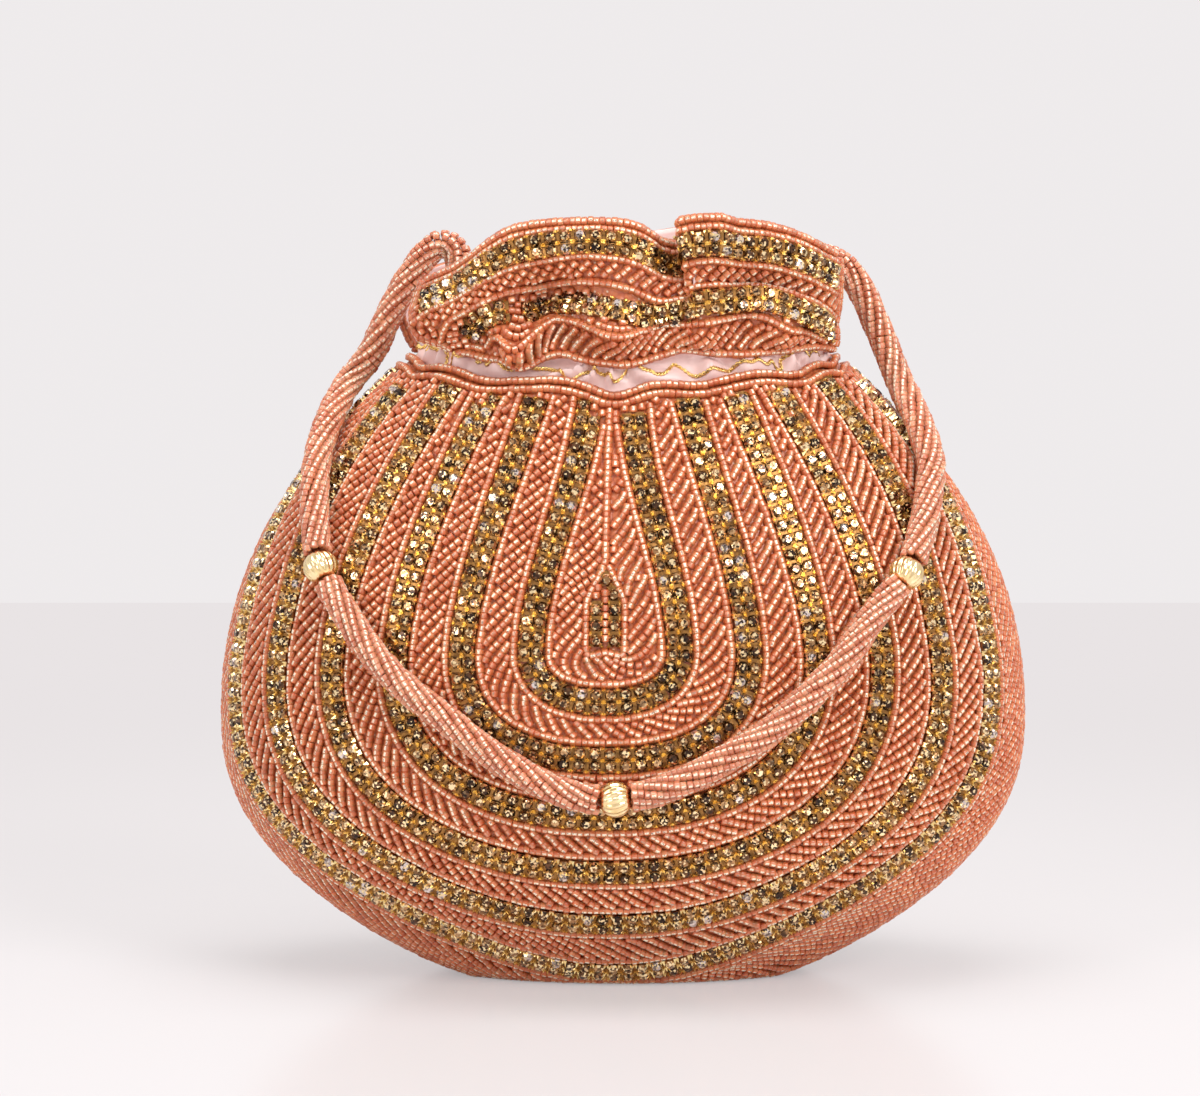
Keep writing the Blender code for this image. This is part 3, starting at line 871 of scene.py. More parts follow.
@dataclass(frozen=True)
class PouchForm:
    """The gathered pouch as a surface over the angle round it and the height.

    Each of the rim's scallops is its middle and width in degrees and its dip in millimetres.
    """

    belly_half_width: float = 100.0 * MM
    belly_half_depth: float = 52.0 * MM
    belly_height: float = 64.0 * MM
    base_half_width: float = 43.0 * MM
    base_half_depth: float = 21.0 * MM
    neck_half_width: float = 50.0 * MM
    neck_half_depth: float = 28.0 * MM
    neck_height: float = 157.0 * MM
    sag: float = 2.3
    shoulder: float = 2.2
    rim_at_sides: float = 2.0 * MM
    rim_dip: float = 6.0 * MM
    rim_scallops: tuple = ((-2.0, 6.0, 2.8), (-34.0, 8.0, 1.3), (17.0, 6.0, 0.9), (47.0, 7.0, 1.2),
                           (-62.0, 6.0, 1.2), (68.0, 6.0, 1.0), (-16.0, 4.0, -0.5),
                           (33.0, 6.0, -0.5))

    def half_sizes(self, height: Array) -> tuple[Array, Array]:
        """The oval section's size: it shrinks from the belly by a power of the way down to
        the base and by another of the way up to the neck.

        Args:
            height: Heights above the table.

        Returns:
            The half widths and the half depths.
        """
        height = np.asarray(height, float)
        down = np.clip((self.belly_height - height) / self.belly_height, 0.0, None) ** self.sag
        up = (height - self.belly_height) / (self.neck_height - self.belly_height)
        up = np.clip(up, 0.0, 1.0) ** self.shoulder
        width = (self.belly_half_width - (self.belly_half_width - self.base_half_width) * down
                 - (self.belly_half_width - self.neck_half_width) * up)
        depth = (self.belly_half_depth - (self.belly_half_depth - self.base_half_depth) * down
                 - (self.belly_half_depth - self.neck_half_depth) * up)
        return width, depth

    def normal(self, turn: Array, height: Array) -> Array:
        """Outward direction: the oval's gradient, tipped by the side profile's slope.

        Args:
            turn: Angles round the pouch.
            height: Heights above the table.

        Returns:
            Directions of length one.
        """
        turn, height = np.broadcast_arrays(np.asarray(turn, float), np.asarray(height, float))
        step = 0.1 * MM
        width, depth = self.half_sizes(height)
        wider, deeper = self.half_sizes(height + step)
        across, along = np.sin(turn), -np.cos(turn)
        rise = (across ** 2 * (wider - width) / width
                + along ** 2 * (deeper - depth) / depth) / step
        return unit(np.stack([across / width, along / depth, -rise], -1))

    def place(self, turn: Array, height: Array, out: Array | float = 0.0) -> Array:
        """Places on the surface: half width by the angle's sine, half depth by its cosine.

        Args:
            turn: Angles round the pouch.
            height: Heights above the table.
            out: How far out along the normal.

        Returns:
            The places.
        """
        turn, height = np.broadcast_arrays(np.asarray(turn, float), np.asarray(height, float))
        width, depth = self.half_sizes(height)
        spot = np.stack([width * np.sin(turn), -depth * np.cos(turn), height], -1)
        return spot + self.normal(turn, height) * np.asarray(out)[..., None]

    def rim_height(self, turn: Array) -> Array:
        """Height of the panels' gathered top edge, lowest at the middle of a face."""
        return self.neck_height - self.rim_at_sides - self.rim_dip * np.cos(turn) ** 2

    def scalloped_rim(self, turn: Array) -> Array:
        """Height of the rim less its scallops, each a bell in the angle.

        Args:
            turn: Angles round the pouch.

        Returns:
            The heights.
        """
        dips = sum(dip * np.exp(-((np.degrees(turn) - middle) / width) ** 2)
                   for middle, width, dip in self.rim_scallops)
        return self.rim_height(turn) - dips * MM

    def below_rim(self, spots: Array, room: float) -> Array:
        """Which places lie more than room under the scalloped rim, by the neck's oval."""
        turn = np.arctan2(spots[:, 0] / self.neck_half_width, -spots[:, 1] / self.neck_half_depth)
        return spots[:, 2] < self.scalloped_rim(turn) - room

    def turn_at(self, share: Array, height: Array) -> Array:
        """Angle at a share of the way round the quarter oval, by the length of its arc.

        Args:
            share: From -1 at the left side to 1 at the right side.
            height: Heights above the table.

        Returns:
            The angles.
        """
        share, height = np.broadcast_arrays(np.asarray(share, float), np.asarray(height, float))
        width, depth = self.half_sizes(height)
        turn = np.linspace(0.0, math.pi / 2, 65)
        steps = np.hypot(width[..., None] * np.diff(np.sin(turn)),
                         depth[..., None] * np.diff(np.cos(turn)))
        length = np.concatenate([np.zeros((*share.shape, 1)), steps.cumsum(-1)], -1)
        target = np.abs(share) * length[..., -1]
        index = (length[..., 1:-1] < target[..., None]).sum(-1)
        before, after = (np.take_along_axis(length, index[..., None] + step, -1)[..., 0]
                         for step in (0, 1))
        return np.copysign((index + (target - before) / (after - before)) * turn[1], share)


@dataclass(frozen=True)
class LoopPattern:
    """The nested loops of a face, and every line between them.

    A line has a number: 0 to 5 are the six chain loops, -1 the core's line in the middle
    and 6 the side seam with the base's edge. Numbers between read between the loops. A way
    runs along each line from -1 at the neck's left, through 0 at its foot, to 1.
    """

    form: PouchForm
    share_first: float = 0.147
    share_step: float = 0.1385
    foot_first: float = 73.4 * MM
    foot_step: float = 13.9 * MM
    shoulder: float = 86.0 * MM
    fullness: float = 2.35
    centre: float = -0.038
    neck_shares: tuple = (0.062, 0.232, 0.387, 0.535, 0.740, 0.930)
    chain_end: float = 1.5 * MM
    seam_leaves: float = 0.45
    seam_leaving: float = 1.6
    seam_lands: float = 0.7
    seam_landing: float = 1.4

    def key_line(self, number: int, way: Array) -> tuple[Array, Array]:
        """One whole-numbered line.

        The arms blend from the neck's share to the belly's. Below the shoulder the line
        closes in a superellipse, share by a power of the cosine and drop by one of the sine.
        The seam's line falls down the side by a power of the way left, then turns in along
        the base's edge.

        Args:
            number: The line's number.
            way: Ways along it.

        Returns:
            The share of the way round and the height at each way.
        """
        side = np.where(way < 0, -1.0, 1.0)
        rise = np.clip(np.abs(way) * 2 - 1, 0.0, 1.0)
        fall = np.clip(1 - np.abs(way) * 2, 0.0, 1.0)
        if number == len(self.neck_shares):
            inward = np.clip((fall - self.seam_leaves) / (1 - self.seam_leaves), 0.0, 1.0)
            landed = 1 - np.clip(fall / self.seam_lands, 0.0, 1.0)
            share = side * (1 - inward ** self.seam_leaving)
            drop = self.shoulder * (1 - landed ** self.seam_landing)
        else:
            belly = 0.0 if number < 0 else self.share_first + self.share_step * number
            neck = 0.0 if number < 0 else self.neck_shares[number]
            angle, power = fall * math.pi / 2, 2 / self.fullness
            closing = np.clip(np.cos(angle), 0.0, None) ** power
            share = side * (belly + (neck - belly) * smoothstep(rise)) * closing + self.centre
            fully = self.shoulder - self.foot_first + self.foot_step * number
            drop = fully * np.sin(angle) ** power
        rim = self.form.rim_height(self.form.turn_at(share, self.form.neck_height))
        return share, self.shoulder + (rim - self.chain_end - self.shoulder) * rise - drop

    def line(self, number: Array, way: Array) -> tuple[Array, Array]:
        """Any line, blended from the whole-numbered lines on its two sides.

        Args:
            number: Fractional line numbers.
            way: Ways along the lines.

        Returns:
            The angles round the pouch and the heights.
        """
        number, way = np.broadcast_arrays(np.asarray(number, float), np.asarray(way, float))
        low = np.clip(np.floor(number), -1, len(self.neck_shares) - 1).astype(int)
        share, height = np.zeros(number.shape), np.zeros(number.shape)
        for whole in np.unique(low):
            mask = low == whole
            blend = number[mask] - whole
            first, second = (self.key_line(int(whole) + step, way[mask]) for step in (0, 1))
            share[mask] = first[0] * (1 - blend) + second[0] * blend
            height[mask] = first[1] * (1 - blend) + second[1] * blend
        return self.form.turn_at(share, height), height

    def place(self, number: Array, way: Array, out: Array | float = 0.0) -> Array:
        """Places at a line number and way, some way out from the cloth."""
        return self.form.place(*self.line(number, way), out)


# Beads

@dataclass(frozen=True)
class BeadStrands:
    """Rows of seed beads: their size, their spacing, how they are cut and how unlike they are."""

    diameter: float = 2.05 * MM
    length: float = 1.47 * MM
    pitch: float = 1.43 * MM
    strand_pitch: float = 2.25 * MM
    seat: float = 0.0 * MM
    end_share: float = 0.88
    broad: float = 1.08
    flat: float = 0.90
    unlike: float = 0.035
    tilt: float = 0.05
    stray: float = 0.05 * MM

    def stamp(self, detail: BeadDetail) -> Stamp:
        """A barrel: rings of unlike sides, narrow at both ends, with the silver face on top,
        where the lining shows with a painted highlight.

        Args:
            detail: How finely it is cut.

        Returns:
            The shape, with the glass as finish 0 and the silver, partly a painted highlight,
            as finish 1.
        """
        angles, stations = detail.value
        angles, sides, rings = np.radians(angles), len(angles), len(stations)
        radius = np.where(np.abs(stations) > 0.45, self.end_share, 1.0) * self.diameter / 2
        verts = np.stack([np.repeat(stations, sides) * self.length,
                          (radius[:, None] * np.sin(angles)).ravel() * self.broad,
                          (radius[:, None] * np.cos(angles)).ravel() * self.flat], -1)
        faces = [tuple(face) for face in grid_loops(rings, sides, True, flip=True)]
        finishes = [0] * (len(faces) + 2)
        # The outward middle face shows the silver lining, painted pale: partly its own silver,
        # partly a painted highlight.
        finishes[sides * (rings // 2 - 1)] = 1
        ends = [tuple(range(sides)), tuple(range((rings - 1) * sides, rings * sides))[::-1]]
        return Stamp(verts, faces + ends, finishes)

    def frames(self, place: Array, along: Array, out: Array, rng: Random) -> Frames:
        """Frames for beads, each slightly unlike in size, tilt, place and tone.

        Args:
            place: The beads' places.
            along: The way their holes run.
            out: The way out from the cloth.
            rng: The random source.

        Returns:
            The frames.
        """
        count = len(place)
        size = 1 + rng.normal(0.0, self.unlike, (count, 3))
        along = unit(along) + rng.normal(0.0, self.tilt, (count, 3))
        stray = rng.normal(0.0, self.stray, (count, 3))
        return Frames(place + stray, along, out, size, rng.uniform(0.0, 1.0, count))

    def row(self, spots: Array, normals: Array, rng: Random, rows: Array | None = None) -> Frames:
        """Beads along one line.

        Args:
            spots: The line's places, close together.
            normals: The way out at each of them.
            rng: The random source.
            rows: Where the beads sit, as fractional row numbers, or a pitch apart if None.

        Returns:
            The frames.
        """
        rows = even_rows(spots, self.pitch) if rows is None else rows
        return self.frames(read_at(spots, rows), read_at(np.gradient(spots, axis=0), rows),
                           read_at(normals, rows), rng)


@dataclass(frozen=True)
class Slant:
    """Strands that slant across a band, each centred at a length along the band's middle.

    `share` is each bead's share of its strand's length, one row for each strand, and `real`
    says which of those beads their strand has room for.
    """

    starts: Array
    run: Array
    share: Array
    real: Array

    @classmethod
    def across(cls, starts: Array, clear: Array, angle: float, pitch: float) -> "Slant":
        """Lays the strands.

        Args:
            starts: Lengths at which they are centred.
            clear: The band's clear width there.
            angle: How steeply they cross it.
            pitch: Distance from bead to bead.

        Returns:
            The strands.
        """
        run = clear / math.tan(angle)
        beads = np.maximum(1, np.round(np.hypot(run, clear) / pitch)).astype(int)
        index = np.arange(beads.max())[None]
        return cls(starts, run, (index + 0.5) / beads[:, None], (index < beads[:, None]).ravel())

    def along(self, share: Array) -> Array:
        """Lengths along the band's middle at shares of each strand."""
        return self.starts[:, None] + (share - 0.5) * self.run[:, None]


@dataclass
class Band:
    """The band inside the chain loop of its number, measured at even ways along it.

    `low` and `high` are the gaps from its inner and outer lines to their border strands.
    """

    number: int
    way: Array
    middle: Array
    width: Array
    low: Array
    high: Array


@dataclass
class BandBeads:
    """The beads between two neighbouring loops: border strands and slanting strands."""

    pattern: LoopPattern
    strands: BeadStrands
    samples: int = 900
    chain_gap: float = 4.25 * MM
    core_gap: float = 4.60 * MM
    core_foot_gap: float = 2.3 * MM
    core_foot: float = 0.35
    core_top: float = 95.5 * MM
    core_fade: float = 12 * MM
    core_over: float = 10 * MM
    centre_gap: float = 0.3 * MM
    seam_gap: float = 1.3 * MM
    inner_reach: float = 0.62
    outer_reach: float = 0.75
    rim_room: float = 4.4 * MM
    lowest: float = 1.15 * MM
    slant_pitch: float = 3.65 * MM
    slant: float = math.radians(36.0)
    slack: float = 1.02
    straight: float = 0.55
    least_width: float = 1.0 * MM
    look_ahead: float = 0.04

    def frames(self, number: int, rng: Random) -> Frames:
        """Frames of every bead in a band, cut off below the rim.

        Args:
            number: The band's number.
            rng: The random source.

        Returns:
            The frames, on the front.
        """
        band = self.measured(number)
        found = Frames.joined([self.border(band, False, rng), self.border(band, True, rng),
                               self.slanting(band, rng)])
        found.place[:, 2] = np.maximum(found.place[:, 2], self.lowest)
        return found.kept(self.pattern.form.below_rim(found.place, self.rim_room))

    def measured(self, number: int) -> Band:
        """Measures a band: its width is the part of its span that is square to its middle.

        Args:
            number: The band's number.

        Returns:
            The band.
        """
        way = np.linspace(-0.999, 0.999, self.samples)
        middle = self.pattern.place(np.full(way.shape, number - 0.5), way)
        span = self.pattern.place(float(number), way) - self.pattern.place(number - 1.0, way)
        slip = (span * unit(np.gradient(middle, axis=0))).sum(1)
        width = np.sqrt(np.maximum((span ** 2).sum(1) - slip ** 2, 1e-12))
        return Band(number, way, middle, width, *self.border_gaps(number, way))

    def border_gaps(self, number: int, way: Array) -> tuple[Array, Array]:
        """Distances of the border strands' middles from a band's inner and outer lines.

        Args:
            number: The band's number.
            way: Ways along it.

        Returns:
            The inner and the outer distances.
        """
        gap = np.full(way.shape, self.chain_gap)
        if number == 0:
            _, height = self.pattern.line(-1.0, way)
            foot = smoothstep(np.abs(way) / self.core_foot)
            core = self.core_foot_gap + (self.core_gap - self.core_foot_gap) * foot
            fade = smoothstep((height - self.core_top) / self.core_fade)
            return core * (1 - fade) + self.centre_gap * fade, gap
        if number == len(self.pattern.neck_shares):
            return gap, np.full(way.shape, self.seam_gap)
        return gap, gap

    def border(self, band: Band, inward: bool, rng: Random) -> Frames:
        """One border strand, its gap off the band's inner or outer line.

        Args:
            band: The band.
            inward: Whether it lies inside the outer line.
            rng: The random source.

        Returns:
            The strand's frames, without those past the band's middle where it is narrow.
        """
        share = (band.high if inward else band.low) / band.width
        number = band.number - share if inward else band.number - 1 + share
        turn, height = self.pattern.line(number, band.way)
        spots = self.pattern.form.place(turn, height, self.strands.seat)
        rows = even_rows(spots, self.strands.pitch)
        here = read_at(share, rows)
        keep = (here < (self.outer_reach if inward else self.inner_reach)) & (here > 0)
        if band.number == 0 and not inward:
            top = self.core_top + self.core_over
            keep &= (read_at(height, rows) < top) | (read_at(band.way, rows) < 0)
        return self.strands.row(spots, self.pattern.form.normal(turn, height), rng, rows[keep])

    def slanting(self, band: Band, rng: Random) -> Frames:
        """The strands that slant across a band from its inner to its outer border.

        Args:
            band: The band.
            rng: The random source.

        Returns:
            The frames, one strand centred at every pitch along the band's middle.
        """
        room = self.strands.strand_pitch / 2
        low, high = band.low + room, band.high + room
        length = length_along(band.middle)
        starts = np.arange(self.slant_pitch, length[-1], self.slant_pitch)
        clear = read_at(band.width - low - high, np.interp(starts, length, np.arange(len(length))))
        wide = clear > self.least_width
        slant = Slant.across(starts[wide], clear[wide], self.slant, self.strands.pitch * self.slack)
        shares = low / band.width, high / band.width
        turn, height = self.pattern.line(*self.crossing(band, slant, slant.share, length, shares))
        ahead = self.crossing(band, slant, slant.share + self.look_ahead, length, shares)
        spots = self.pattern.form.place(turn, height, self.strands.seat)
        direction = self.pattern.place(*ahead, self.strands.seat) - spots
        normals = self.pattern.form.normal(turn, height)
        return self.strands.frames(spots[slant.real], direction[slant.real], normals[slant.real],
                                   rng)

    def crossing(self, band: Band, slant: Slant, share: Array, length: Array,
                 gaps: tuple[Array, Array]) -> tuple[Array, Array]:
        """Where slanting strands run: from border to border, partly eased, as the way goes on.

        Args:
            band: The band.
            slant: Its strands.
            share: Shares of their length.
            length: The length along the band's middle at each of its ways.
            gaps: The room left free at the inner and outer lines, as shares of the width.

        Returns:
            The line numbers and the ways.
        """
        eased = self.straight * share + (1 - self.straight) * smoothstep(share)
        rows = np.interp(slant.along(share), length, np.arange(len(length))).ravel()
        first, final = read_at(gaps[0], rows), 1 - read_at(gaps[1], rows)
        number = band.number - 1 + first + (final - first) * eased.ravel()
        return number, read_at(band.way, rows)


# Cup chain

@dataclass(frozen=True)
class CupChain:
    """Double cup chain: two rows of prong cups, each with a cut stone, joined by links."""

    row_gap: float = 3.06 * MM
    pitch: float = 3.60 * MM
    cup_half: float = 1.52 * MM
    cup_corner: float = 1.36 * MM
    cup_height: float = 0.55 * MM
    lip_share: float = 0.93
    stone_radius: float = 1.56 * MM
    stone_height: float = 0.85 * MM
    girdle_share: float = 0.9
    table_share: float = 0.60
    prong_half: float = 0.42 * MM
    prong_foot: float = 0.5
    prong_lean: float = 0.86
    prong_top: float = 1.02
    link_half: tuple = (0.45 * MM, 1.15 * MM)
    link_foot: float = 0.05 * MM
    link_share: float = 0.7
    seat: float = -0.15 * MM
    tilt: float = 0.10
    stone_tones: tuple = (0.05, 0.18, 0.45, 0.58, 0.66, 0.90)
    stone_odds: tuple = (0.13, 0.20, 0.27, 0.20, 0.12, 0.08)
    tone_spread: float = 0.03

    def ring(self, radius: float, height: float) -> Array:
        """A level ring of eight places, a side square to X."""
        angle = (np.arange(8) + 0.5) * math.pi / 4
        return np.stack([radius * np.cos(angle), radius * np.sin(angle), np.full(8, height)], -1)

    def cup_ring(self, scale: float, height: float) -> Array:
        """A level ring of eight places, a square with its corners cut.

        Args:
            scale: Its size as a share of the cup's.
            height: Its height.

        Returns:
            The places.
        """
        a, b = self.cup_half * scale, self.cup_corner * scale
        plan = [(a, b), (b, a), (-b, a), (-a, b), (-a, -b), (-b, -a), (b, -a), (a, -b)]
        return np.concatenate([np.array(plan), np.full((8, 1), height)], 1)

    def stamp(self) -> Stamp:
        """Makes one cup of the chain.

        Returns:
            A cup with its stone, four prongs bent over the stone and a link to the next cup,
            with the cup's metal as finish 0, the stone as 1 and the prongs as 2.
        """
        girdle, table = self.cup_height * self.girdle_share, self.cup_height + self.stone_height
        cup = [self.cup_ring(1.0, 0.0), self.cup_ring(self.lip_share, self.cup_height)]
        stone = [self.ring(self.stone_radius, girdle),
                 self.ring(self.stone_radius * self.table_share, table)]
        bodies = [(np.concatenate(cup), prism_faces(8), 0),
                  (np.concatenate(stone), prism_faces(8), 1)]
        corners = np.array([(-1, -1), (1, -1), (1, 1), (-1, 1)])
        spike = [(3, 2, 1, 0), (0, 1, 4), (1, 2, 4), (2, 3, 4), (3, 0, 4)]
        for x in (-self.cup_half, self.cup_half):
            for y in (-self.cup_corner, self.cup_corner):
                foot = np.full((4, 3), self.cup_height * self.prong_foot)
                foot[:, :2] = np.array([x, y]) + corners * self.prong_half
                tip = [(x * self.prong_lean, y * self.prong_lean, table * self.prong_top)]
                bodies.append((np.concatenate([foot, tip]), spike, 2))
        link = [(self.pitch / 2 + x * self.link_half[0], y * self.link_half[1], z)
                for z in (self.link_foot, self.cup_height * self.link_share) for x, y in corners]
        return Stamp.of_bodies([*bodies, (np.array(link), prism_faces(4), 0)])

    def frames(self, spots: Array, normals: Array, rng: Random) -> Frames:
        """Frames of the cups along a middle line, in pairs square to it.

        Args:
            spots: The line's places, close together.
            normals: The way out at each of them.
            rng: The source of each stone's tone and tilt.

        Returns:
            The frames, one row of cups after the other.
        """
        rows = even_rows(spots, self.pitch)
        ahead = unit(read_at(np.gradient(spots, axis=0), rows))
        out = unit(read_at(normals, rows))
        across = unit(np.cross(out, ahead))
        middle = read_at(spots, rows)
        parts = []
        for side in (-0.5, 0.5):
            place = middle + across * side * self.row_gap + out * self.seat
            tone = rng.choice(self.stone_tones, len(place), p=self.stone_odds)
            tone = np.clip(tone + rng.normal(0, self.tone_spread, len(place)), 0, 1)
            tilt = out + rng.normal(0.0, self.tilt, out.shape)
            parts.append(Frames(place, ahead, tilt, np.ones((len(place), 3)), tone))
        return Frames.joined(parts)


@dataclass
class Trim:
    """What all the beading shares: its beads, its cup chain and their finishes."""

    strands: BeadStrands
    chain: CupChain
    glass: list
    cups: list
    cloth: Material
    satin: Material

    def bead_piece(self, name: str, face: Face, detail: BeadDetail, frames: Frames) -> None:
        """Makes one piece of beads.

        Args:
            name: The piece's name.
            face: The side of the bag that it lies on.
            detail: How finely its beads are cut.
            frames: Its frames, on the front.
        """
        stamp = self.strands.stamp(detail)
        piece = stamp.piece(name, frames.turned(face), self.glass, True)

    def chain_piece(self, owner: str, label: str, face: Face, frames: Frames) -> None:
        """Makes one chain of cups and lets it stand for its solid.

        Args:
            owner: The start of the names of the piece and the solid.
            label: Their end.
            face: The side of the bag that it lies on.
            frames: Its frames, on the front.
        """
        name = f"{owner}_cup_chain_{label}"
        piece = self.chain.stamp().piece(name, frames.turned(face), self.cups, False)
        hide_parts(f"{owner}_chain_{label}")


# A whole face

@dataclass
class BeadedFace:
    """One embroidered panel: its cloth, its bands of beads and its loops of cup chain.

    The core's cups and beads are given across and above in millimetres. A zone of fillers
    has its lowest and highest place, and its first and last angle and step in degrees.
    """

    face: Face
    detail: BeadDetail
    seed: int
    trim: Trim
    pattern: LoopPattern
    cloth_depth: float = 0.60 * MM
    cloth_thick: float = 1.2 * MM
    cloth_foot: float = 1.2 * MM
    seam_gap: float = 0.1 * MM
    chain_lowest: float = 1.6 * MM
    chain_rim_room: float = 5.2 * MM
    core_cups: tuple = ((-2.15, 87.9), (2.15, 87.9), (-2.15, 91.5), (2.15, 91.5), (-2.15, 95.1),
                        (2.15, 95.1), (2.0, 98.7), (0.1, 102.2))
    core_tones: tuple = (0.1, 0.6)
    core_beads: tuple = ((0.0, 88.4), (0.0, 90.2), (0.0, 92.0), (0.0, 93.8), (0.0, 95.6),
                         (-0.1, 97.4), (-2.2, 98.6), (-1.9, 100.4), (-0.2, 99.1), (-1.0, 104.6))
    core_seat: float = 0.2 * MM
    rim_drops: tuple = (0.8 * MM, 2.9 * MM)
    rim_seat: float = 0.25 * MM
    filler_zones: tuple = ((132 * MM, 158 * MM, (-89.0, 89.5, 0.9)),
                           (82 * MM, 135 * MM, (-16.0, 14.0, 0.6)))
    filler_reach: float = 3 * MM
    filler_top: float = 3.9 * MM
    filler_bead_room: float = 1.50 * MM
    filler_cup_room: float = 2.3 * MM

    @property
    def form(self) -> PouchForm:
        """The pouch's form."""
        return self.pattern.form

    def build(self) -> None:
        """Builds the face's pieces and hides the solids that they stand for."""
        rng = np.random.default_rng(self.seed)
        label = self.face.label
        cloth = self.build_cloth()
        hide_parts(f"{label}_panel")
        bands = BandBeads(self.pattern, self.trim.strands)
        cups = self.build_chains(rng)
        placed = []
        for band in range(len(self.pattern.neck_shares) + 1):
            frames = bands.frames(band, rng)
            placed.append(frames.place)
            self.trim.bead_piece(f"{label}_beads_{band}", self.face, self.detail, frames)
        edge = Frames.joined([self.rim_frames(rng), self.core_strand(rng)])
        fillers = self.fillers(np.concatenate([*placed, edge.place]), cups, rng)
        self.trim.bead_piece(f"{label}_rim_beads", self.face, self.detail,
                             Frames.joined([edge, fillers]))

    def fillers(self, beads: Array, cups: Array, rng: Random) -> Frames:
        """Beads set in the room left between the strands near the rim and round the core.

        Args:
            beads: Places of all the other beads, on the front.
            cups: Places of all the cups.
            rng: The random source.

        Returns:
            The frames of those that found room.
        """
        parts = []
        for low, high, turns in self.filler_zones:
            near = ((beads[:, 2] > low - self.filler_reach)
                    & (beads[:, 2] < high + self.filler_reach))
            parts.append(fill_rows(self.upright_rows(low, high, turns, rng), beads[near], cups,
                                   self.filler_bead_room, self.filler_cup_room))
        return Frames.joined(parts)

    def upright_rows(self, low: float, high: float, turns: tuple, rng: Random) -> Iterable[Frames]:
        """Upright lines of beads, one at a time, each set up by a random part of a millimetre.

        Args:
            low: The lowest place.
            high: The highest place.
            turns: The first angle, the end and the step, in degrees.
            rng: The random source.

        Returns:
            Each line's frames, made as they are asked for.
        """
        for turn in np.radians(np.arange(*turns)):
            top = min(high, self.form.scalloped_rim(turn) - self.filler_top)
            height = np.arange(low, top, self.trim.strands.pitch) + rng.uniform(0.0, 1.0) * MM
            spots = self.form.place(turn, height, self.trim.strands.seat)
            yield self.trim.strands.frames(spots, np.gradient(spots, axis=0),
                                           self.form.normal(turn, height), rng)

    def rim_frames(self, rng: Random) -> Frames:
        """Strands of beads that follow the scalloped rim.

        Args:
            rng: The random source.

        Returns:
            The frames.
        """
        turn = np.linspace(-1.555, 1.555, 500)
        parts = []
        for drop in self.rim_drops:
            height = self.form.scalloped_rim(turn) - drop
            spots = self.form.place(turn, height, self.rim_seat)
            parts.append(self.trim.strands.row(spots, self.form.normal(turn, height), rng))
        return Frames.joined(parts)

    def build_cloth(self) -> Object:
        """The cloth under the beads, a sheet that runs under the base to the middle seam.

        Returns:
            The piece.
        """
        turn = np.linspace(-math.pi / 2, math.pi / 2, 91)
        share = np.linspace(0.0, 1.0, 38)[:, None]
        heights = np.maximum(share * self.form.scalloped_rim(turn)[None], self.cloth_foot)
        outer = self.form.place(turn, heights, -self.cloth_depth)
        inner = self.form.place(turn, heights, -self.cloth_depth - self.cloth_thick)
        inner[0, :, 2] = outer[0, :, 2] + self.cloth_thick
        skins = []
        for skin in (outer, inner):
            keel = skin[:1].copy()
            keel[..., 1] = 0.0
            skin = np.concatenate([keel, skin]) - np.array([0.0, self.seam_gap, 0.0])
            skins.append(self.face.turned(skin))
        piece = cloth_piece(f"{self.face.label}_cloth", *skins, [self.trim.cloth])
        return piece

    def build_chains(self, rng: Random) -> Array:
        """The six loops of double cup chain and the short core inside the first.

        Args:
            rng: The source of every stone's tone.

        Returns:
            The places of all the cups, on the front.
        """
        label, chain = self.face.label, self.trim.chain
        way = np.linspace(-1.0, 1.0, 900)
        places = []
        for number in range(len(self.pattern.neck_shares)):
            turn, height = self.pattern.line(float(number), way)
            frames = chain.frames(self.form.place(turn, height), self.form.normal(turn, height),
                                  rng)
            frames = frames.kept(self.form.below_rim(frames.place, self.chain_rim_room))
            frames.place[:, 2] = np.maximum(frames.place[:, 2], self.chain_lowest)
            places.append(frames.place)
            self.trim.chain_piece(label, str(number + 1), self.face, frames)
        place, ahead, out = self.core_line(self.core_cups, chain.seat)
        tone = rng.uniform(*self.core_tones, len(place))
        frames = Frames(place, ahead, out, np.ones(place.shape), tone)
        self.trim.chain_piece(label, "core", self.face, frames)
        return np.concatenate([*places, place])

    def core_strand(self, rng: Random) -> Frames:
        """The short strand of beads between the core's two rows of stones."""
        return self.trim.strands.frames(*self.core_line(self.core_beads, self.core_seat), rng)

    def core_line(self, spots: tuple, out: float) -> tuple[Array, Array, Array]:
        """Places about the core's upright line.

        Args:
            spots: Pairs of a distance to its right and a height, in millimetres.
            out: How far out from the pouch they lie.

        Returns:
            The places, the upward direction at each and the outward one.
        """
        across, height = np.array(spots).T * MM
        turn = self.form.turn_at(self.pattern.centre, height)
        place = self.form.place(turn, height, out)
        place[:, 0] += across
        return place, np.broadcast_to((0.0, 0.0, 1.0), place.shape), self.form.normal(turn, height)


# Frill

@dataclass(frozen=True)
class Fold:
    """A soft fold: a ridge if it swells outwards, a crease if inwards, with a lift and a slide.

    Angles in degrees, rise and tall as shares of the frill's height, the rest in millimetres
    and, for the slide, degrees round the neck.
    """

    turn: float
    rise: float
    width: float
    tall: float
    swell: float
    lift: float = 0.0
    slide: float = 0.0

    def way(self, turn: Array) -> Array:
        """Distance round the neck from the fold's middle, in widths."""
        return (np.degrees(turn) - self.turn) / self.width

    def strength(self, turn: Array, rise: Array) -> Array:
        """The fold's share: a bell in angle and in rise, 1 at its middle."""
        return np.exp(-self.way(turn) ** 2 - ((rise - self.rise) / self.tall) ** 2)


def folds(*rows: tuple) -> tuple:
    """Folds from rows of their values."""
    return tuple(Fold(*row) for row in rows)


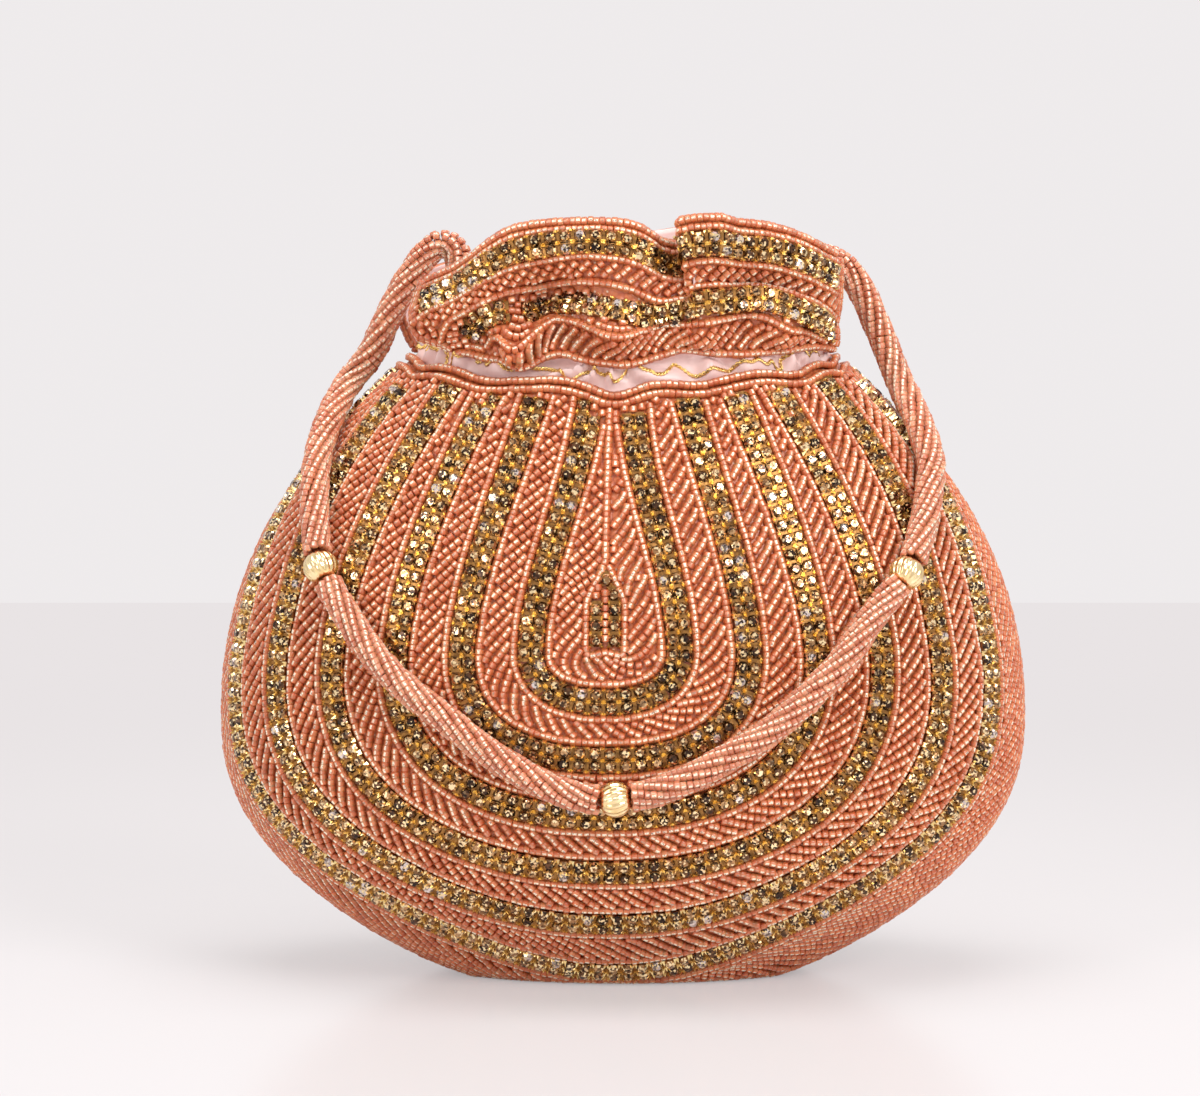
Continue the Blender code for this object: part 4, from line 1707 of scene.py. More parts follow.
FRONT_FOLDS = folds(
    (-76, 0.55, 14, 0.60, -3.0), (-56, 0.45, 12, 0.26, 2.2), (-42, 1.00, 13, 0.70, 0.6, -3.2),
    (-28, 0.14, 8, 0.18, 3.4, -1.6), (-20, 0.45, 10, 0.20, -3.8), (-12, 0.08, 7, 0.14, -1.6),
    (-9, 0.66, 14, 0.26, 0.8, 2.2), (-2, 0.24, 8, 0.16, 2.8, -0.6), (5, 0.38, 8, 0.18, -0.8, -1.8),
    (12, 0.90, 7, 0.45, -2.8, -3.6), (22, 0.92, 6, 0.50, 3.2, 0.6), (36, 0.34, 10, 0.16, 0.8, 1.6),
    (38, 0.54, 17, 0.14, -2.2), (52, 0.22, 12, 0.22, 2.0), (78, 0.55, 14, 0.60, -2.6),
)
FRONT_CRUMPLES = folds(
    (16.5, 1.00, 3.2, 0.50, 0.0, 0.0, 13.0), (-23, 0.42, 8.0, 0.10, -5.2, 0.0),
    (-27, 0.22, 4.6, 0.15, 3.6, -5.0), (-18, 0.18, 4.0, 0.12, -2.6, 1.0),
    (-42, 0.22, 5.0, 0.14, -1.8, 1.0), (-3, 0.24, 6.5, 0.13, 3.2, -2.6),
    (-9, 0.42, 7.0, 0.06, -2.0, 0.0), (10, 0.22, 3.5, 0.14, -1.8, 0.6),
    (38, 0.53, 18.0, 0.06, -2.2), (20, 0.17, 4.5, 0.11, 1.6, -1.6),
    (45, 0.18, 5.5, 0.11, 1.6, -1.8), (32, 0.18, 3.5, 0.12, -1.4, 0.6),
    (-62, 0.40, 6.0, 0.30, 1.8, -1.5), (-36, 0.80, 4.0, 0.3, 0.6), (-46, 0.62, 4.0, 0.3, -0.7),
    (60, 0.70, 4.0, 0.3, -0.6), (8, 0.46, 4.0, 0.10, 1.2, -1.2),
)
FRONT_LOBES = folds(
    (-27, 0.00, 5.5, 0.22, 2.8, -3.5), (-37, 0.00, 6.0, 0.18, 1.0, -1.3),
    (-9, 0.00, 4.5, 0.12, 0.8, -1.0), (0, 0.00, 8.0, 0.18, 2.4, -2.6),
    (16, 0.00, 5.0, 0.12, -0.2, 1.0), (33, 0.00, 7.0, 0.12, 0.8, -0.5),
    (62, 0.00, 12.0, 0.20, 0.0, 0.9),
)
BACK_FOLDS = folds(
    (-62, 0.50, 9, 0.50, 2.4), (-44, 0.75, 8, 0.50, -3.4, -2.4), (-24, 0.35, 10, 0.35, 3.0),
    (-6, 0.80, 8, 0.45, -3.4, -2.0), (12, 0.45, 9, 0.40, 2.8, 0.6), (31, 0.85, 8, 0.50, 2.6, -1.4),
    (44, 0.30, 8, 0.35, -3.2), (64, 0.60, 9, 0.50, 2.2), (44, 1.00, 13, 0.60, 0.0, -4.5),
)
BACK_CRUMPLES = folds(
    (-34, 0.22, 5.0, 0.14, 2.4, -2.4), (2, 0.20, 5.0, 0.13, 2.0, -2.0),
    (22, 0.50, 8.0, 0.08, -2.4), (54, 0.22, 5.0, 0.14, 2.0, -2.0),
    (-12, 0.50, 9.0, 0.07, -2.4), (-50, 1.00, 4.5, 0.45, 0.0, 0.0, 2.5),
)
BACK_LOBES = folds(
    (-40, 0.00, 7.0, 0.18, 2.0, -2.0), (-12, 0.00, 6.0, 0.16, 1.6, -1.4),
    (14, 0.00, 8.0, 0.18, 2.2, -2.4), (46, 0.00, 7.0, 0.16, 1.6, -1.6),
)


@dataclass(frozen=True)
class FrillForm:
    """The crumpled cloth that stands above the casing, over its share across and its rise.

    Each kind of fold has a pair of rises between which it comes free of the casing. The
    slits are given in degrees from the side seam at the foot, at mid rise and at the edge.
    A fold hides the lower chain between the two places of `tucked`, in millimetres across.
    """

    form: PouchForm
    folds: tuple
    crumples: tuple
    lobes: tuple
    tucked: tuple = (0.0, 0.0)
    folds_free: tuple = (0.10, 0.28)
    crumples_free: tuple = (0.02, 0.12)
    lobes_free: tuple = (-0.2, -0.1)
    lift: float = 5.0 * MM
    clear: float = 0.3 * MM
    full_height: float = 33.5 * MM
    flare: float = 5.0 * MM
    roll: float = 0.72
    ease: float = 0.5 * MM
    lap: float = 2.8 * MM
    lap_lift: float = 2.2 * MM
    lap_reach: float = 2.6
    droop: float = 3.0 * MM
    corner_left: float = 11.0 * MM
    corner_right: float = 5.5 * MM
    corner_start: float = 0.42
    corner_spans: tuple = (0.55, 0.50)
    left_slits: tuple = (39.0, 22.0, 27.0)
    right_slits: tuple = (7.0, 8.0, 13.0)
    slit_rises: tuple = (0.0, 0.38, 1.0)

    def turn(self, share: Array, rise: Array) -> Array:
        """Angle round the neck of a share across the cloth, less the side slit at its rise.

        Args:
            share: From -1 at the left edge to 1 at the right edge.
            rise: From 0 at the foot to 1 at the free edge.

        Returns:
            The angles.
        """
        left, right = (np.interp(rise, self.slit_rises, slits)
                       for slits in (self.left_slits, self.right_slits))
        return share * np.radians(90.0 - np.where(share < 0, left, right))

    def height(self, share: Array) -> Array:
        """Height from foot to free edge: full in the middle, less by eased droops at the corners.

        Args:
            share: Shares across.

        Returns:
            The heights.
        """
        left_span, right_span = self.corner_spans
        left = self.corner_left * smoothstep((-share - self.corner_start) / left_span)
        right = self.corner_right * smoothstep((share - self.corner_start) / right_span)
        return self.full_height - self.droop * np.abs(share) ** 3 - left - right

    def rise_at(self, share: Array, drop: Array) -> Array:
        """Rise at a distance down from the free edge, at a share across."""
        return 1.0 - drop / self.height(share)

    def base(self, share: Array, rise: Array) -> Array:
        """Places on the crumpled cloth.

        The foot is the pouch's outline above the casing. The cloth flares by a sine of its
        rise, each fold pushes and lifts it by a bell, and a sliding fold moves it round the
        neck by its way times a bell, far enough to lay one part over the next.

        Args:
            share: Shares across.
            rise: Rises.

        Returns:
            The places.
        """
        share, rise = np.broadcast_arrays(np.asarray(share, float), np.asarray(rise, float))
        level = self.turn(share, rise)
        push, lift, turn = 0.0, 0.0, level
        for group, (held, free) in ((self.folds, self.folds_free),
                                    (self.crumples, self.crumples_free),
                                    (self.lobes, self.lobes_free)):
            loose = np.clip((rise - held) / (free - held), 0.0, 1.0)
            for fold in group:
                bell = fold.strength(level, rise) * loose
                push, lift = push + fold.swell * bell * MM, lift + fold.lift * bell * MM
                if fold.slide:
                    way = fold.way(level)
                    turn = turn - np.radians(fold.slide) * way * bell
                    step = np.tanh(way) * np.exp(-(way / self.lap_reach) ** 2
                                                 - ((rise - fold.rise) / fold.tall) ** 2)
                    push, lift = push + self.lap * step, lift + self.lap_lift * step
        rim = self.form.rim_height(turn)
        foot = self.form.place(turn, rim + self.lift * np.cos(turn) ** 2 + self.clear)
        width, depth = self.form.half_sizes(foot[..., 2])
        plan = unit(np.stack([np.sin(turn) / width, -np.cos(turn) / depth, 0.0 * turn], -1))
        flare = self.flare * np.sin(math.pi * np.clip(rise * self.roll, 0.0, 1.0))
        spot = foot + plan * (self.ease + flare + push)[..., None]
        spot[..., 2] += rise * self.height(share) + lift
        return spot

    def normal(self, share: Array, rise: Array) -> Array:
        """Outward direction: the cross product of the steps across and up the cloth.

        Args:
            share: Shares across.
            rise: Rises.

        Returns:
            Directions of length one.
        """
        step = 0.002
        across = self.base(share + step, rise) - self.base(share - step, rise)
        up = self.base(share, rise + step) - self.base(share, rise - step)
        return unit(np.cross(across, up))

    def place(self, share: Array, rise: Array, out: float = 0.0) -> Array:
        """Places some way out from the cloth's outside."""
        return self.base(share, rise) + self.normal(share, rise) * out


@dataclass
class FrillBand:
    """A band of slanting strands: the length, lower border and width at shares across it."""

    share: Array
    length: Array
    lower: Array
    clear: Array


@dataclass
class BeadedFrill:
    """One frill: its cloth, two lines of cup chain and the strands of beads between them.

    A drop is a distance down from the free edge.
    """

    face: Face
    detail: BeadDetail
    seed: int
    trim: Trim
    shape: FrillForm
    straight_drops: tuple = (1.1 * MM, 3.2 * MM, 11.1 * MM, 16.5 * MM, 24.6 * MM)
    straight_inset: float = 0.075
    straight_least: float = 0.10
    chain_drops: tuple = (7.1 * MM, 20.5 * MM)
    chain_inset: float = 0.10
    chain_least: float = 0.16
    foot_rise: float = 0.035
    foot_reach: float = 0.985
    end_insets: tuple = (0.018, 0.050)
    end_rises: tuple = (0.07, 0.93)
    cloth_depth: float = 0.60 * MM
    cloth_thick: float = 1.1 * MM
    slant: float = math.radians(40.0)
    slant_pitch: float = 3.3 * MM
    slant_from: float = -0.93
    slant_to: float = 0.95
    least_width: float = 0.6 * MM
    least_rise: float = 0.06
    look_ahead: float = 0.05
    filler_reach: float = 0.975
    filler_top: float = 0.97
    filler_pitch: float = 1.0 * MM
    filler_bead_room: float = 1.60 * MM
    filler_cup_room: float = 2.4 * MM

    def laid(self, share: Array, rise: Array) -> tuple[Array, Array]:
        """Places where beads or cups sit and outward directions, at shares across and rises."""
        seat = self.trim.strands.seat
        return self.shape.place(share, rise, seat), self.shape.normal(share, rise)

    def level_row(self, rise: float, reach: float, rng: Random) -> Frames:
        """Beads along one rise, out to a share across on both sides."""
        return self.trim.strands.row(*self.laid(np.linspace(-reach, reach, 800), rise), rng)

    def line(self, drop: float, inset: float, least: float) -> tuple[Array, Array]:
        """A line along the frill below its edge.

        Args:
            drop: Its distance below the edge.
            inset: The share left free at both ends.
            least: The rise below which there is no line.

        Returns:
            Its places and outward directions.
        """
        share = np.linspace(-1 + inset, 1 - inset, 800)
        rise = self.shape.rise_at(share, drop)
        return self.laid(share[rise > least], rise[rise > least])

    def slanting(self, top: float, foot: float | None, rng: Random) -> Frames:
        """Strands that slant up to the right between two straight strands.

        Each sets off a pitch along the frill from the last and runs from the lower strand to
        the upper.

        Args:
            top: The upper strand's drop.
            foot: The lower strand's drop, or None for the strand along the foot.
            rng: The random source.

        Returns:
            The frames.
        """
        share = np.linspace(self.slant_from, self.slant_to, 900)
        lower = np.full(share.shape, foot, float)
        if foot is None:
            lower = self.shape.height(share) * (1 - self.foot_rise)
        middle = self.shape.base(share, self.shape.rise_at(share, (top + lower) / 2))
        clear = lower - top - self.trim.strands.strand_pitch
        band = FrillBand(share, length_along(middle), lower, clear)
        starts = np.arange(self.slant_pitch / 2, band.length[-1], self.slant_pitch)
        room = np.interp(starts, band.length, clear)
        wide = room > self.least_width
        slant = Slant.across(starts[wide], room[wide], self.slant, self.trim.strands.pitch)
        here = self.crossing(band, slant, slant.share)
        ahead = self.crossing(band, slant, slant.share + self.look_ahead)
        spots, normals = self.laid(*here)
        direction = self.laid(*ahead)[0] - spots
        keep = slant.real & (here[1] > self.least_rise)
        return self.trim.strands.frames(spots[keep], direction[keep], normals[keep], rng)

    def crossing(self, band: FrillBand, slant: Slant, at: Array) -> tuple[Array, Array]:
        """Where slanting strands run.

        Args:
            band: Their band.
            slant: The strands.
            at: Shares of their length.

        Returns:
            The shares across and the rises.
        """
        where = np.interp(slant.along(at), band.length, band.share)
        drop = (np.interp(where, band.share, band.lower) - self.trim.strands.strand_pitch / 2
                - at * np.interp(where, band.share, band.clear))
        return where.ravel(), self.shape.rise_at(where, drop).ravel()

    def end_rows(self, rng: Random) -> list:
        """Upright strands at each side end.

        Args:
            rng: The random source.

        Returns:
            Each strand's frames.
        """
        rise = np.linspace(*self.end_rises, 120)
        return [self.trim.strands.row(*self.laid(side * (1 - inset), rise), rng)
                for side in (-1, 1) for inset in self.end_insets]

    def chains(self, rng: Random) -> list:
        """The upper and the lower chain.

        Args:
            rng: The source of every stone's tone.

        Returns:
            Each chain's frames, the lower one's without those that a fold hides.
        """
        upper, lower = (self.trim.chain.frames(*self.line(drop, self.chain_inset, self.chain_least),
                                               rng) for drop in self.chain_drops)
        across = lower.place[:, 0] / MM
        hidden_from, hidden_to = self.shape.tucked
        return [upper, lower.kept((across < hidden_from) | (across > hidden_to))]

    def bead_frames(self, rng: Random) -> list:
        """The beads of the straight, foot, slanting and end strands.

        Args:
            rng: The random source.

        Returns:
            Each strand's or band's frames.
        """
        inset, least = self.straight_inset, self.straight_least
        straight = [self.trim.strands.row(*self.line(drop, inset, least), rng)
                    for drop in self.straight_drops]
        return [*straight, self.level_row(self.foot_rise, self.foot_reach, rng),
                self.slanting(*self.straight_drops[2:4], rng),
                self.slanting(self.straight_drops[4], None, rng), *self.end_rows(rng)]

    def build(self) -> None:
        """Builds the cloth, beads and chains, and hides the solids that they stand for."""
        rng = np.random.default_rng(self.seed)
        label = self.face.label
        cloth = self.build_cloth()
        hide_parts(f"{label}_frill")
        beads = Frames.joined(self.bead_frames(rng))
        chains = self.chains(rng)
        step = self.filler_pitch / self.shape.full_height
        rises = np.arange(self.foot_rise, self.filler_top, step)
        rows = (self.level_row(rise, self.filler_reach, rng) for rise in rises)
        fillers = fill_rows(rows, beads.place, Frames.joined(chains).place, self.filler_bead_room,
                            self.filler_cup_room)
        self.trim.bead_piece(f"{label}_frill_beads", self.face, self.detail,
                             Frames.joined([beads, fillers]))
        for frames, place in zip(chains, ("upper", "lower")):
            self.trim.chain_piece(f"{label}_frill", place, self.face, frames)

    def build_cloth(self) -> Object:
        """The frill's own cloth, a fine grid over its share across and its rise.

        Returns:
            The piece.
        """
        share = np.linspace(-1.0, 1.0, 211)[None]
        rise = np.linspace(0.0, 1.0, 27)[:, None]
        skins = [self.face.turned(self.shape.place(share, rise, -depth))
                 for depth in (self.cloth_depth, self.cloth_depth + self.cloth_thick)]
        piece = cloth_piece(f"{self.face.label}_frill_cloth", *skins,
                            [self.trim.cloth, self.trim.satin])
        return piece


# Satin

def waved(value: Array | float, turn: Array, waves: tuple) -> Array:
    """Adds sines of the angle to a value.

    Args:
        value: What they are added to.
        turn: Angles round the neck.
        waves: Each sine's height, count and phase.

    Returns:
        The value plus height times the sine of count times turn plus phase, for each.
    """
    for height, count, phase in waves:
        value = value + height * np.sin(count * turn + phase)
    return value


@dataclass
class SatinNeck:
    """The satin parts: pleated casing with its gold chain stitch, the lining and the tabs.

    The casing's levels above the rim, and how far it stands out and its gathers swell at
    each, are in millimetres, and so is the stitch's wandering.
    """

    form: PouchForm
    satin: Material
    thread: Material
    tuck: float = 5.0 * MM
    stand: float = 8.0 * MM
    thick: float = 0.8 * MM
    casing_thick: float = 0.64 * MM
    pleats: float = 31.0
    pleat_drift: tuple = ((1.7, 5, 0.6), (1.1, 9, 2.0))
    pleat_shares: tuple = (0.78, 0.22)
    levels: tuple = (-5.0, -0.8, 0.6, 2.6, 4.6, 6.0, 8.0)
    stands: tuple = (-3.1, -2.9, -1.3, -0.5, -1.3, -2.7, -3.2)
    crests: tuple = (0.3, 0.5, 1.6, 2.2, 1.8, 0.6, 0.3)
    leans: tuple = ((0.026, 7, 0.0), (0.022, 12, 1.0))
    lining_depth: float = 3.1 * MM
    lining_neck_depth: float = 6.3 * MM
    lining_narrows: tuple = (138 * MM, 12 * MM)
    lining_drawn: tuple = (100 * MM, 50 * MM)
    lining_lag: float = 0.999
    lining_gathers: float = 0.6
    lining_sway: float = 0.4 * MM
    lining_sways: int = 11
    stitch_count: int = 24
    stitch_sway: tuple = ((2.4, 5, 0.0),)
    stitch_fine: float = 0.35
    stitch_fine_count: int = 53
    stitch_fine_sway: tuple = ((1.5, 8, 0.0),)
    stitch_level: float = 2.2
    stitch_height: float = 1.3
    stitch_taller: tuple = ((0.6, 7, 1.0),)
    stitch_drift: tuple = ((0.5, 9, 0.0),)
    stitch_off: float = 0.30 * MM
    coils: int = 210
    coil_high: float = 0.30 * MM
    coil_deep: float = 0.18 * MM
    thread_radius: float = 0.24 * MM

    def gathers(self, turn: Array) -> Array:
        """Uneven gathers from -1 to 1: a cosine and a finer one, whose phases slow sines push.

        Args:
            turn: Angles round the neck.

        Returns:
            The gathers' heights.
        """
        phase = waved(self.pleats * turn, turn, self.pleat_drift)
        finer = np.cos(2 * phase + 1.0 + np.sin(3 * turn))
        return self.pleat_shares[0] * np.cos(phase) + self.pleat_shares[1] * finer

    def casing_out(self, turn: Array, up: Array) -> Array:
        """How far the casing stands out: it swells between the rim and the frill's foot.

        Args:
            turn: Angles round the neck.
            up: Heights above the rim.

        Returns:
            The distances from the pouch's surface.
        """
        level, stand, crest = (np.array(part) * MM
                               for part in (self.levels, self.stands, self.crests))
        lean = turn + waved(0.0, turn, self.leans) * up / MM
        return np.interp(up, level, stand) + np.interp(up, level, crest) * self.gathers(lean)

    def build_casing(self) -> None:
        """The gathered channel round the neck, one sheet from the tucked foot to its top."""
        turn = np.linspace(-math.pi, math.pi, 500, endpoint=False)[None]
        up = np.linspace(-self.tuck, self.stand, 16)[:, None]
        height = self.form.rim_height(turn) + up
        out = self.casing_out(turn, up)
        outer = self.form.place(turn, height, out)
        inner = self.form.place(turn, height, out - self.casing_thick)
        piece = cloth_piece("satin_casing", outer, inner, [self.satin], wrap=True)
        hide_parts("neck_casing")

    def build_lining(self) -> None:
        """The inner bag, smooth low down and drawn into folds towards the neck."""
        turn = np.linspace(-math.pi, math.pi, 200, endpoint=False)[None]
        share = np.linspace(0.0, 1.0, 24)[:, None] ** 0.9
        top = self.form.rim_height(turn) + self.stand
        height = np.maximum(share * top, self.lining_depth)
        drawn, narrowed = (smoothstep((height - start) / span)
                           for start, span in (self.lining_drawn, self.lining_narrows))
        depth = self.lining_depth + (self.lining_neck_depth - self.lining_depth) * narrowed
        ripple = (self.gathers(turn * self.lining_lag) * self.lining_gathers * MM * drawn
                  + self.lining_sway * np.sin(self.lining_sways * turn) * drawn)
        outer = self.form.place(turn, height, -depth + ripple)
        inner = self.form.place(turn, height, -depth + ripple - self.thick)
        outer[0, :, 2] = self.lining_depth
        inner[0, :, 2] = self.lining_depth + self.thick
        piece = cloth_piece("lining_cloth", outer, inner, [self.satin], wrap=True, floor=True)
        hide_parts("satin_lining")

    def build_thread(self) -> None:
        """Gold chain stitch that wanders in a zigzag round the gathered satin.

        The zigzag is a triangle wave of the angle with a finer sine on it, and two threads
        coil round it to make the chain.
        """
        turn = np.linspace(-math.pi, math.pi, 1600)
        swayed = waved(self.stitch_count * turn, turn, self.stitch_sway)
        finer = np.sin(waved(self.stitch_fine_count * turn, turn, self.stitch_fine_sway))
        zigzag = np.arcsin(np.sin(swayed)) * 2 / math.pi + self.stitch_fine * finer
        middle = self.stitch_level + waved(self.stitch_height, turn, self.stitch_taller) * zigzag
        up = waved(middle, turn, self.stitch_drift) * MM
        height = self.form.rim_height(turn) + up
        out = self.casing_out(turn, up) + self.stitch_off
        coils = [self.coils * turn + start for start in (0.0, math.pi)]
        paths = [self.form.place(turn, height + self.coil_high * np.sin(coil),
                                 out + self.coil_deep * np.cos(coil)) for coil in coils]
        piece = tube_piece("gold_chain_stitch", paths, self.thread_radius, 4, self.thread)

    def build(self) -> None:
        """Builds the satin pieces and finishes the two tabs."""
        self.build_casing()
        self.build_lining()
        self.build_thread()
        for side in ("left", "right"):
            tab = bpy.data.objects.get(f"handle_tab_{side}")
            for place in tab.material_slots:
                place.material = self.satin


# Handle

@dataclass(frozen=True)
class RopeLine:
    """The rope's middle line, the length along it and two directions square to it."""

    spots: Array
    length: Array
    side: Array
    up: Array

    @classmethod
    def along(cls, spots: Array) -> "RopeLine":
        """Squares two directions to a line, which turn as little as they can along it.

        Args:
            spots: The line's places, close together.

        Returns:
            The line.
        """
        ahead = unit(np.gradient(spots, axis=0))
        sides = [np.array([0.0, 1.0, 0.0])]
        for step in ahead:
            guide = sides[-1] - step * (sides[-1] @ step)
            sides.append(guide / np.linalg.norm(guide))
        side = np.array(sides[1:])
        return cls(spots, length_along(spots), side, np.cross(ahead, side))

    def at(self, length: Array, values: Array) -> Array:
        """Values that are given at the line's places, read at lengths along it."""
        return read_at(values, np.interp(length, self.length, np.arange(len(self.spots))))


@dataclass
class BeadRope:
    """The handle: a rope of bead strands through three fluted beads, from tab to tab.

    The runs and bead places lie on the pouch's front, each an angle in degrees and a
    percentage of the neck's height. The ends are millimetres out, back and up from the
    neck's side.
    """

    form: PouchForm
    strands: BeadStrands
    detail: BeadDetail
    glass: list
    gold: Material
    seed: int = 31
    radius: float = 3.6 * MM
    strand_circle: float = 2.66 * MM
    strand_count: int = 9
    turn_every: float = 57.0 * MM
    squeeze: float = 0.985
    late: float = 0.6
    wander: tuple = (0.10, 5.5 * MM, 1.7)
    swell: tuple = (0.05, 7.0 * MM, 2.3)
    bead_radius: float = 4.3 * MM
    bead_length: float = 7.8 * MM
    bead_overlap: float = 0.4 * MM
    bead_turn: float = 0.3
    flutes: int = 16
    flute_lean: float = 1.4
    flute_depth: float = 0.10
    flute_end: float = 0.72
    flute_fade: float = 0.2
    hole_radius: float = 0.30
    hole_end: float = 0.86
    hole_depth: float = 0.40
    collar_radius: float = 0.36
    collar_end: float = 0.97
    stretch: float = 1.02
    seat: float = 1.65 * MM
    panel_thick: float = 2.4 * MM
    pleat_depth: float = 0.9 * MM
    satin_thick: float = 0.8 * MM
    clear: float = 0.3 * MM
    tab_gap: float = 0.7 * MM
    tab_half: float = 3.5 * MM
    casing_stand: float = 8.0 * MM
    runs: tuple = (
        ((-73.2, 86.2), (-66.2, 81.6), (-60.0, 77.0), (-54.5, 71.8)),
        ((-43.0, 59.9), (-36.3, 53.6), (-30.4, 48.5), (-23.9, 43.8), (-16.5, 38.2), (-8.4, 33.8)),
        ((6.2, 34.6), (12.8, 38.2), (20.9, 43.5), (29.3, 51.2), (36.8, 58.9)),
        ((51.5, 71.1), (57.2, 75.6), (64.8, 80.5), (74.0, 86.4)),
    )
    bead_places: tuple = ((-49.0, 65.5), (-1.2, 32.9), (44.3, 64.8))
    left_end: tuple = ((-9.6, 0.8, 17.0), (-8.4, 1.2, 23.4), (-4.4, 1.2, 25.4), (0.2, 1.2, 21.4),
                       (7.2, 1.2, 10.2), (12.8, 0.6, -1.6), (18.6, -2.2, -9.6))
    right_end: tuple = ((18.8, -2.4, -8.8), (14.4, -0.6, 2.8), (9.4, 0.0, 14.0), (4.4, 0.4, 20.0),
                        (-1.8, 1.0, 22.0), (-7.2, 0.8, 17.6))
    steps: int = 12

    def lies(self, turn: float, percent: float, radius: float) -> Array:
        """Place of the middle of a round thing of a radius that lies on the front's chains."""
        height = percent / 100 * self.form.neck_height
        return self.form.place(math.radians(turn), height, self.seat + radius)

    def beside(self, side: int, out: float, back: float, above: float) -> Array:
        """Place of an end point, in millimetres from the neck's side."""
        return np.array([side * (self.form.neck_half_width + out * MM), back * MM,
                         self.form.neck_height + above * MM])

    def tab_end(self, side: int) -> Array:
        """Place where the rope goes into its tab, just inside the casing.

        Args:
            side: -1 for the left tab or 1 for the right.

        Returns:
            The place.
        """
        inside = (self.panel_thick + 2 * self.pleat_depth + 2 * self.satin_thick + 2 * self.clear
                  + self.tab_gap)
        half_width, half_depth = (half - inside for half in (self.form.neck_half_width,
                                                             self.form.neck_half_depth))
        curve = half_width * (1 - math.sqrt(1 - (self.tab_half / half_depth) ** 2))
        across = half_width - curve - 2 * self.clear - self.satin_thick
        top = self.form.neck_height - self.form.rim_at_sides + self.casing_stand + 2 * self.clear
        return np.array([side * across, 0.0, top])

    def route(self) -> tuple[RopeLine, list]:
        """The rope's way from tab to tab, a smooth curve through its points.

        Returns:
            The line, and the lengths along it at which the metal beads sit.
        """
        points = [self.tab_end(-1)] + [self.beside(-1, *spot) for spot in self.left_end]
        stops = []
        for run, bead in zip(self.runs, (*self.bead_places, None)):
            points += [self.lies(*spot, self.radius) for spot in run]
            if bead:
                stops.append(len(points) * self.steps)
                points.append(self.lies(*bead, self.bead_radius))
        points += [self.beside(1, *spot) for spot in self.right_end] + [self.tab_end(1)]
        line = RopeLine.along(catmull_rom(np.array(points), self.steps))
        return line, [line.length[stop] for stop in stops]

    def rope_frames(self, start: float, finish: float, line: RopeLine, rng: Random) -> Frames:
        """Beads of the twisted strands over one stretch: helices at even angles round the line.

        Args:
            start: The length along the line at which the stretch starts.
            finish: The length at which it ends.
            line: The rope's line.
            rng: The random source.

        Returns:
            The frames, strand by strand.
        """
        every = self.strands.pitch * self.squeeze
        even = np.arange(start + every / 2, finish, every)
        pace = 2 * math.pi * self.strand_circle / self.turn_every
        ahead_by_row = np.gradient(line.spots, axis=0)
        parts = []
        for strand in range(self.strand_count):
            length = even + rng.uniform(0.0, every * self.late)
            length = length[length < finish - every * self.late / 2]
            wander, swell = (size * np.sin(length / every_so + strand * shift)
                             for size, every_so, shift in (self.wander, self.swell))
            angle = 2 * math.pi * (strand / self.strand_count + length / self.turn_every) + wander
            cos, sin = np.cos(angle)[:, None], np.sin(angle)[:, None]
            side, up = line.at(length, line.side), line.at(length, line.up)
            out = cos * side + sin * up
            spots = line.at(length, line.spots) + out * (self.strand_circle * (1 + swell))[:, None]
            ahead = unit(line.at(length, ahead_by_row)) + (-sin * side + cos * up) * pace
            parts.append(self.strands.frames(spots, ahead, out, rng))
        return Frames.joined(parts)

    def metal_bead(self, name: str, place: Array, ahead: Array) -> Object:
        """A fluted ball with a rimmed hole: a lathed profile whose radius dips at each flute.

        The flutes are the dips of a cosine of the angle, which leans along the hole and fades
        towards the collars.

        Args:
            name: The piece's name.
            place: Its middle.
            ahead: The way that its hole runs.

        Returns:
            The piece.
        """
        rows, sides = 27, 96
        way = np.linspace(-1.0, 1.0, rows)
        polar = np.arccos(np.clip(-way, -1, 1))[1:-1]
        round_part = np.maximum(np.sin(polar), self.collar_radius)
        long_part = np.clip(-np.cos(polar) * self.stretch, -self.collar_end, self.collar_end)
        lathe = np.concatenate([[self.hole_radius], round_part, [self.hole_radius]])
        height = np.concatenate([[-self.hole_end], long_part, [self.hole_end]])
        angle = np.arange(sides) * 2 * math.pi / sides
        lean = self.flutes / 2 * angle[None] + self.flute_lean * way[:, None]
        fade = smoothstep((self.flute_end - np.abs(way)) / self.flute_fade)[:, None]
        flute = 1 - self.flute_depth * (1 - np.abs(np.cos(lean))) * fade
        radius = lathe[:, None] * self.bead_radius * flute
        spin = angle + self.bead_turn
        along = np.broadcast_to(height[:, None] * self.bead_length / 2, radius.shape)
        local = np.stack([radius * np.cos(spin), radius * np.sin(spin), along], -1)
        ahead = ahead / np.linalg.norm(ahead)
        guide = unit(np.cross(ahead, np.array([0.0, 1.0, 0.0])))
        basis = np.stack([guide, np.cross(ahead, guide), ahead])
        pole = ahead * self.bead_length * self.hole_depth
        rings = (local @ basis + place).reshape(-1, 3)
        verts = np.concatenate([rings, [place - pole, place + pole]])
        return mesh_object(name, verts, *capped_rings(rows, sides), [self.gold])

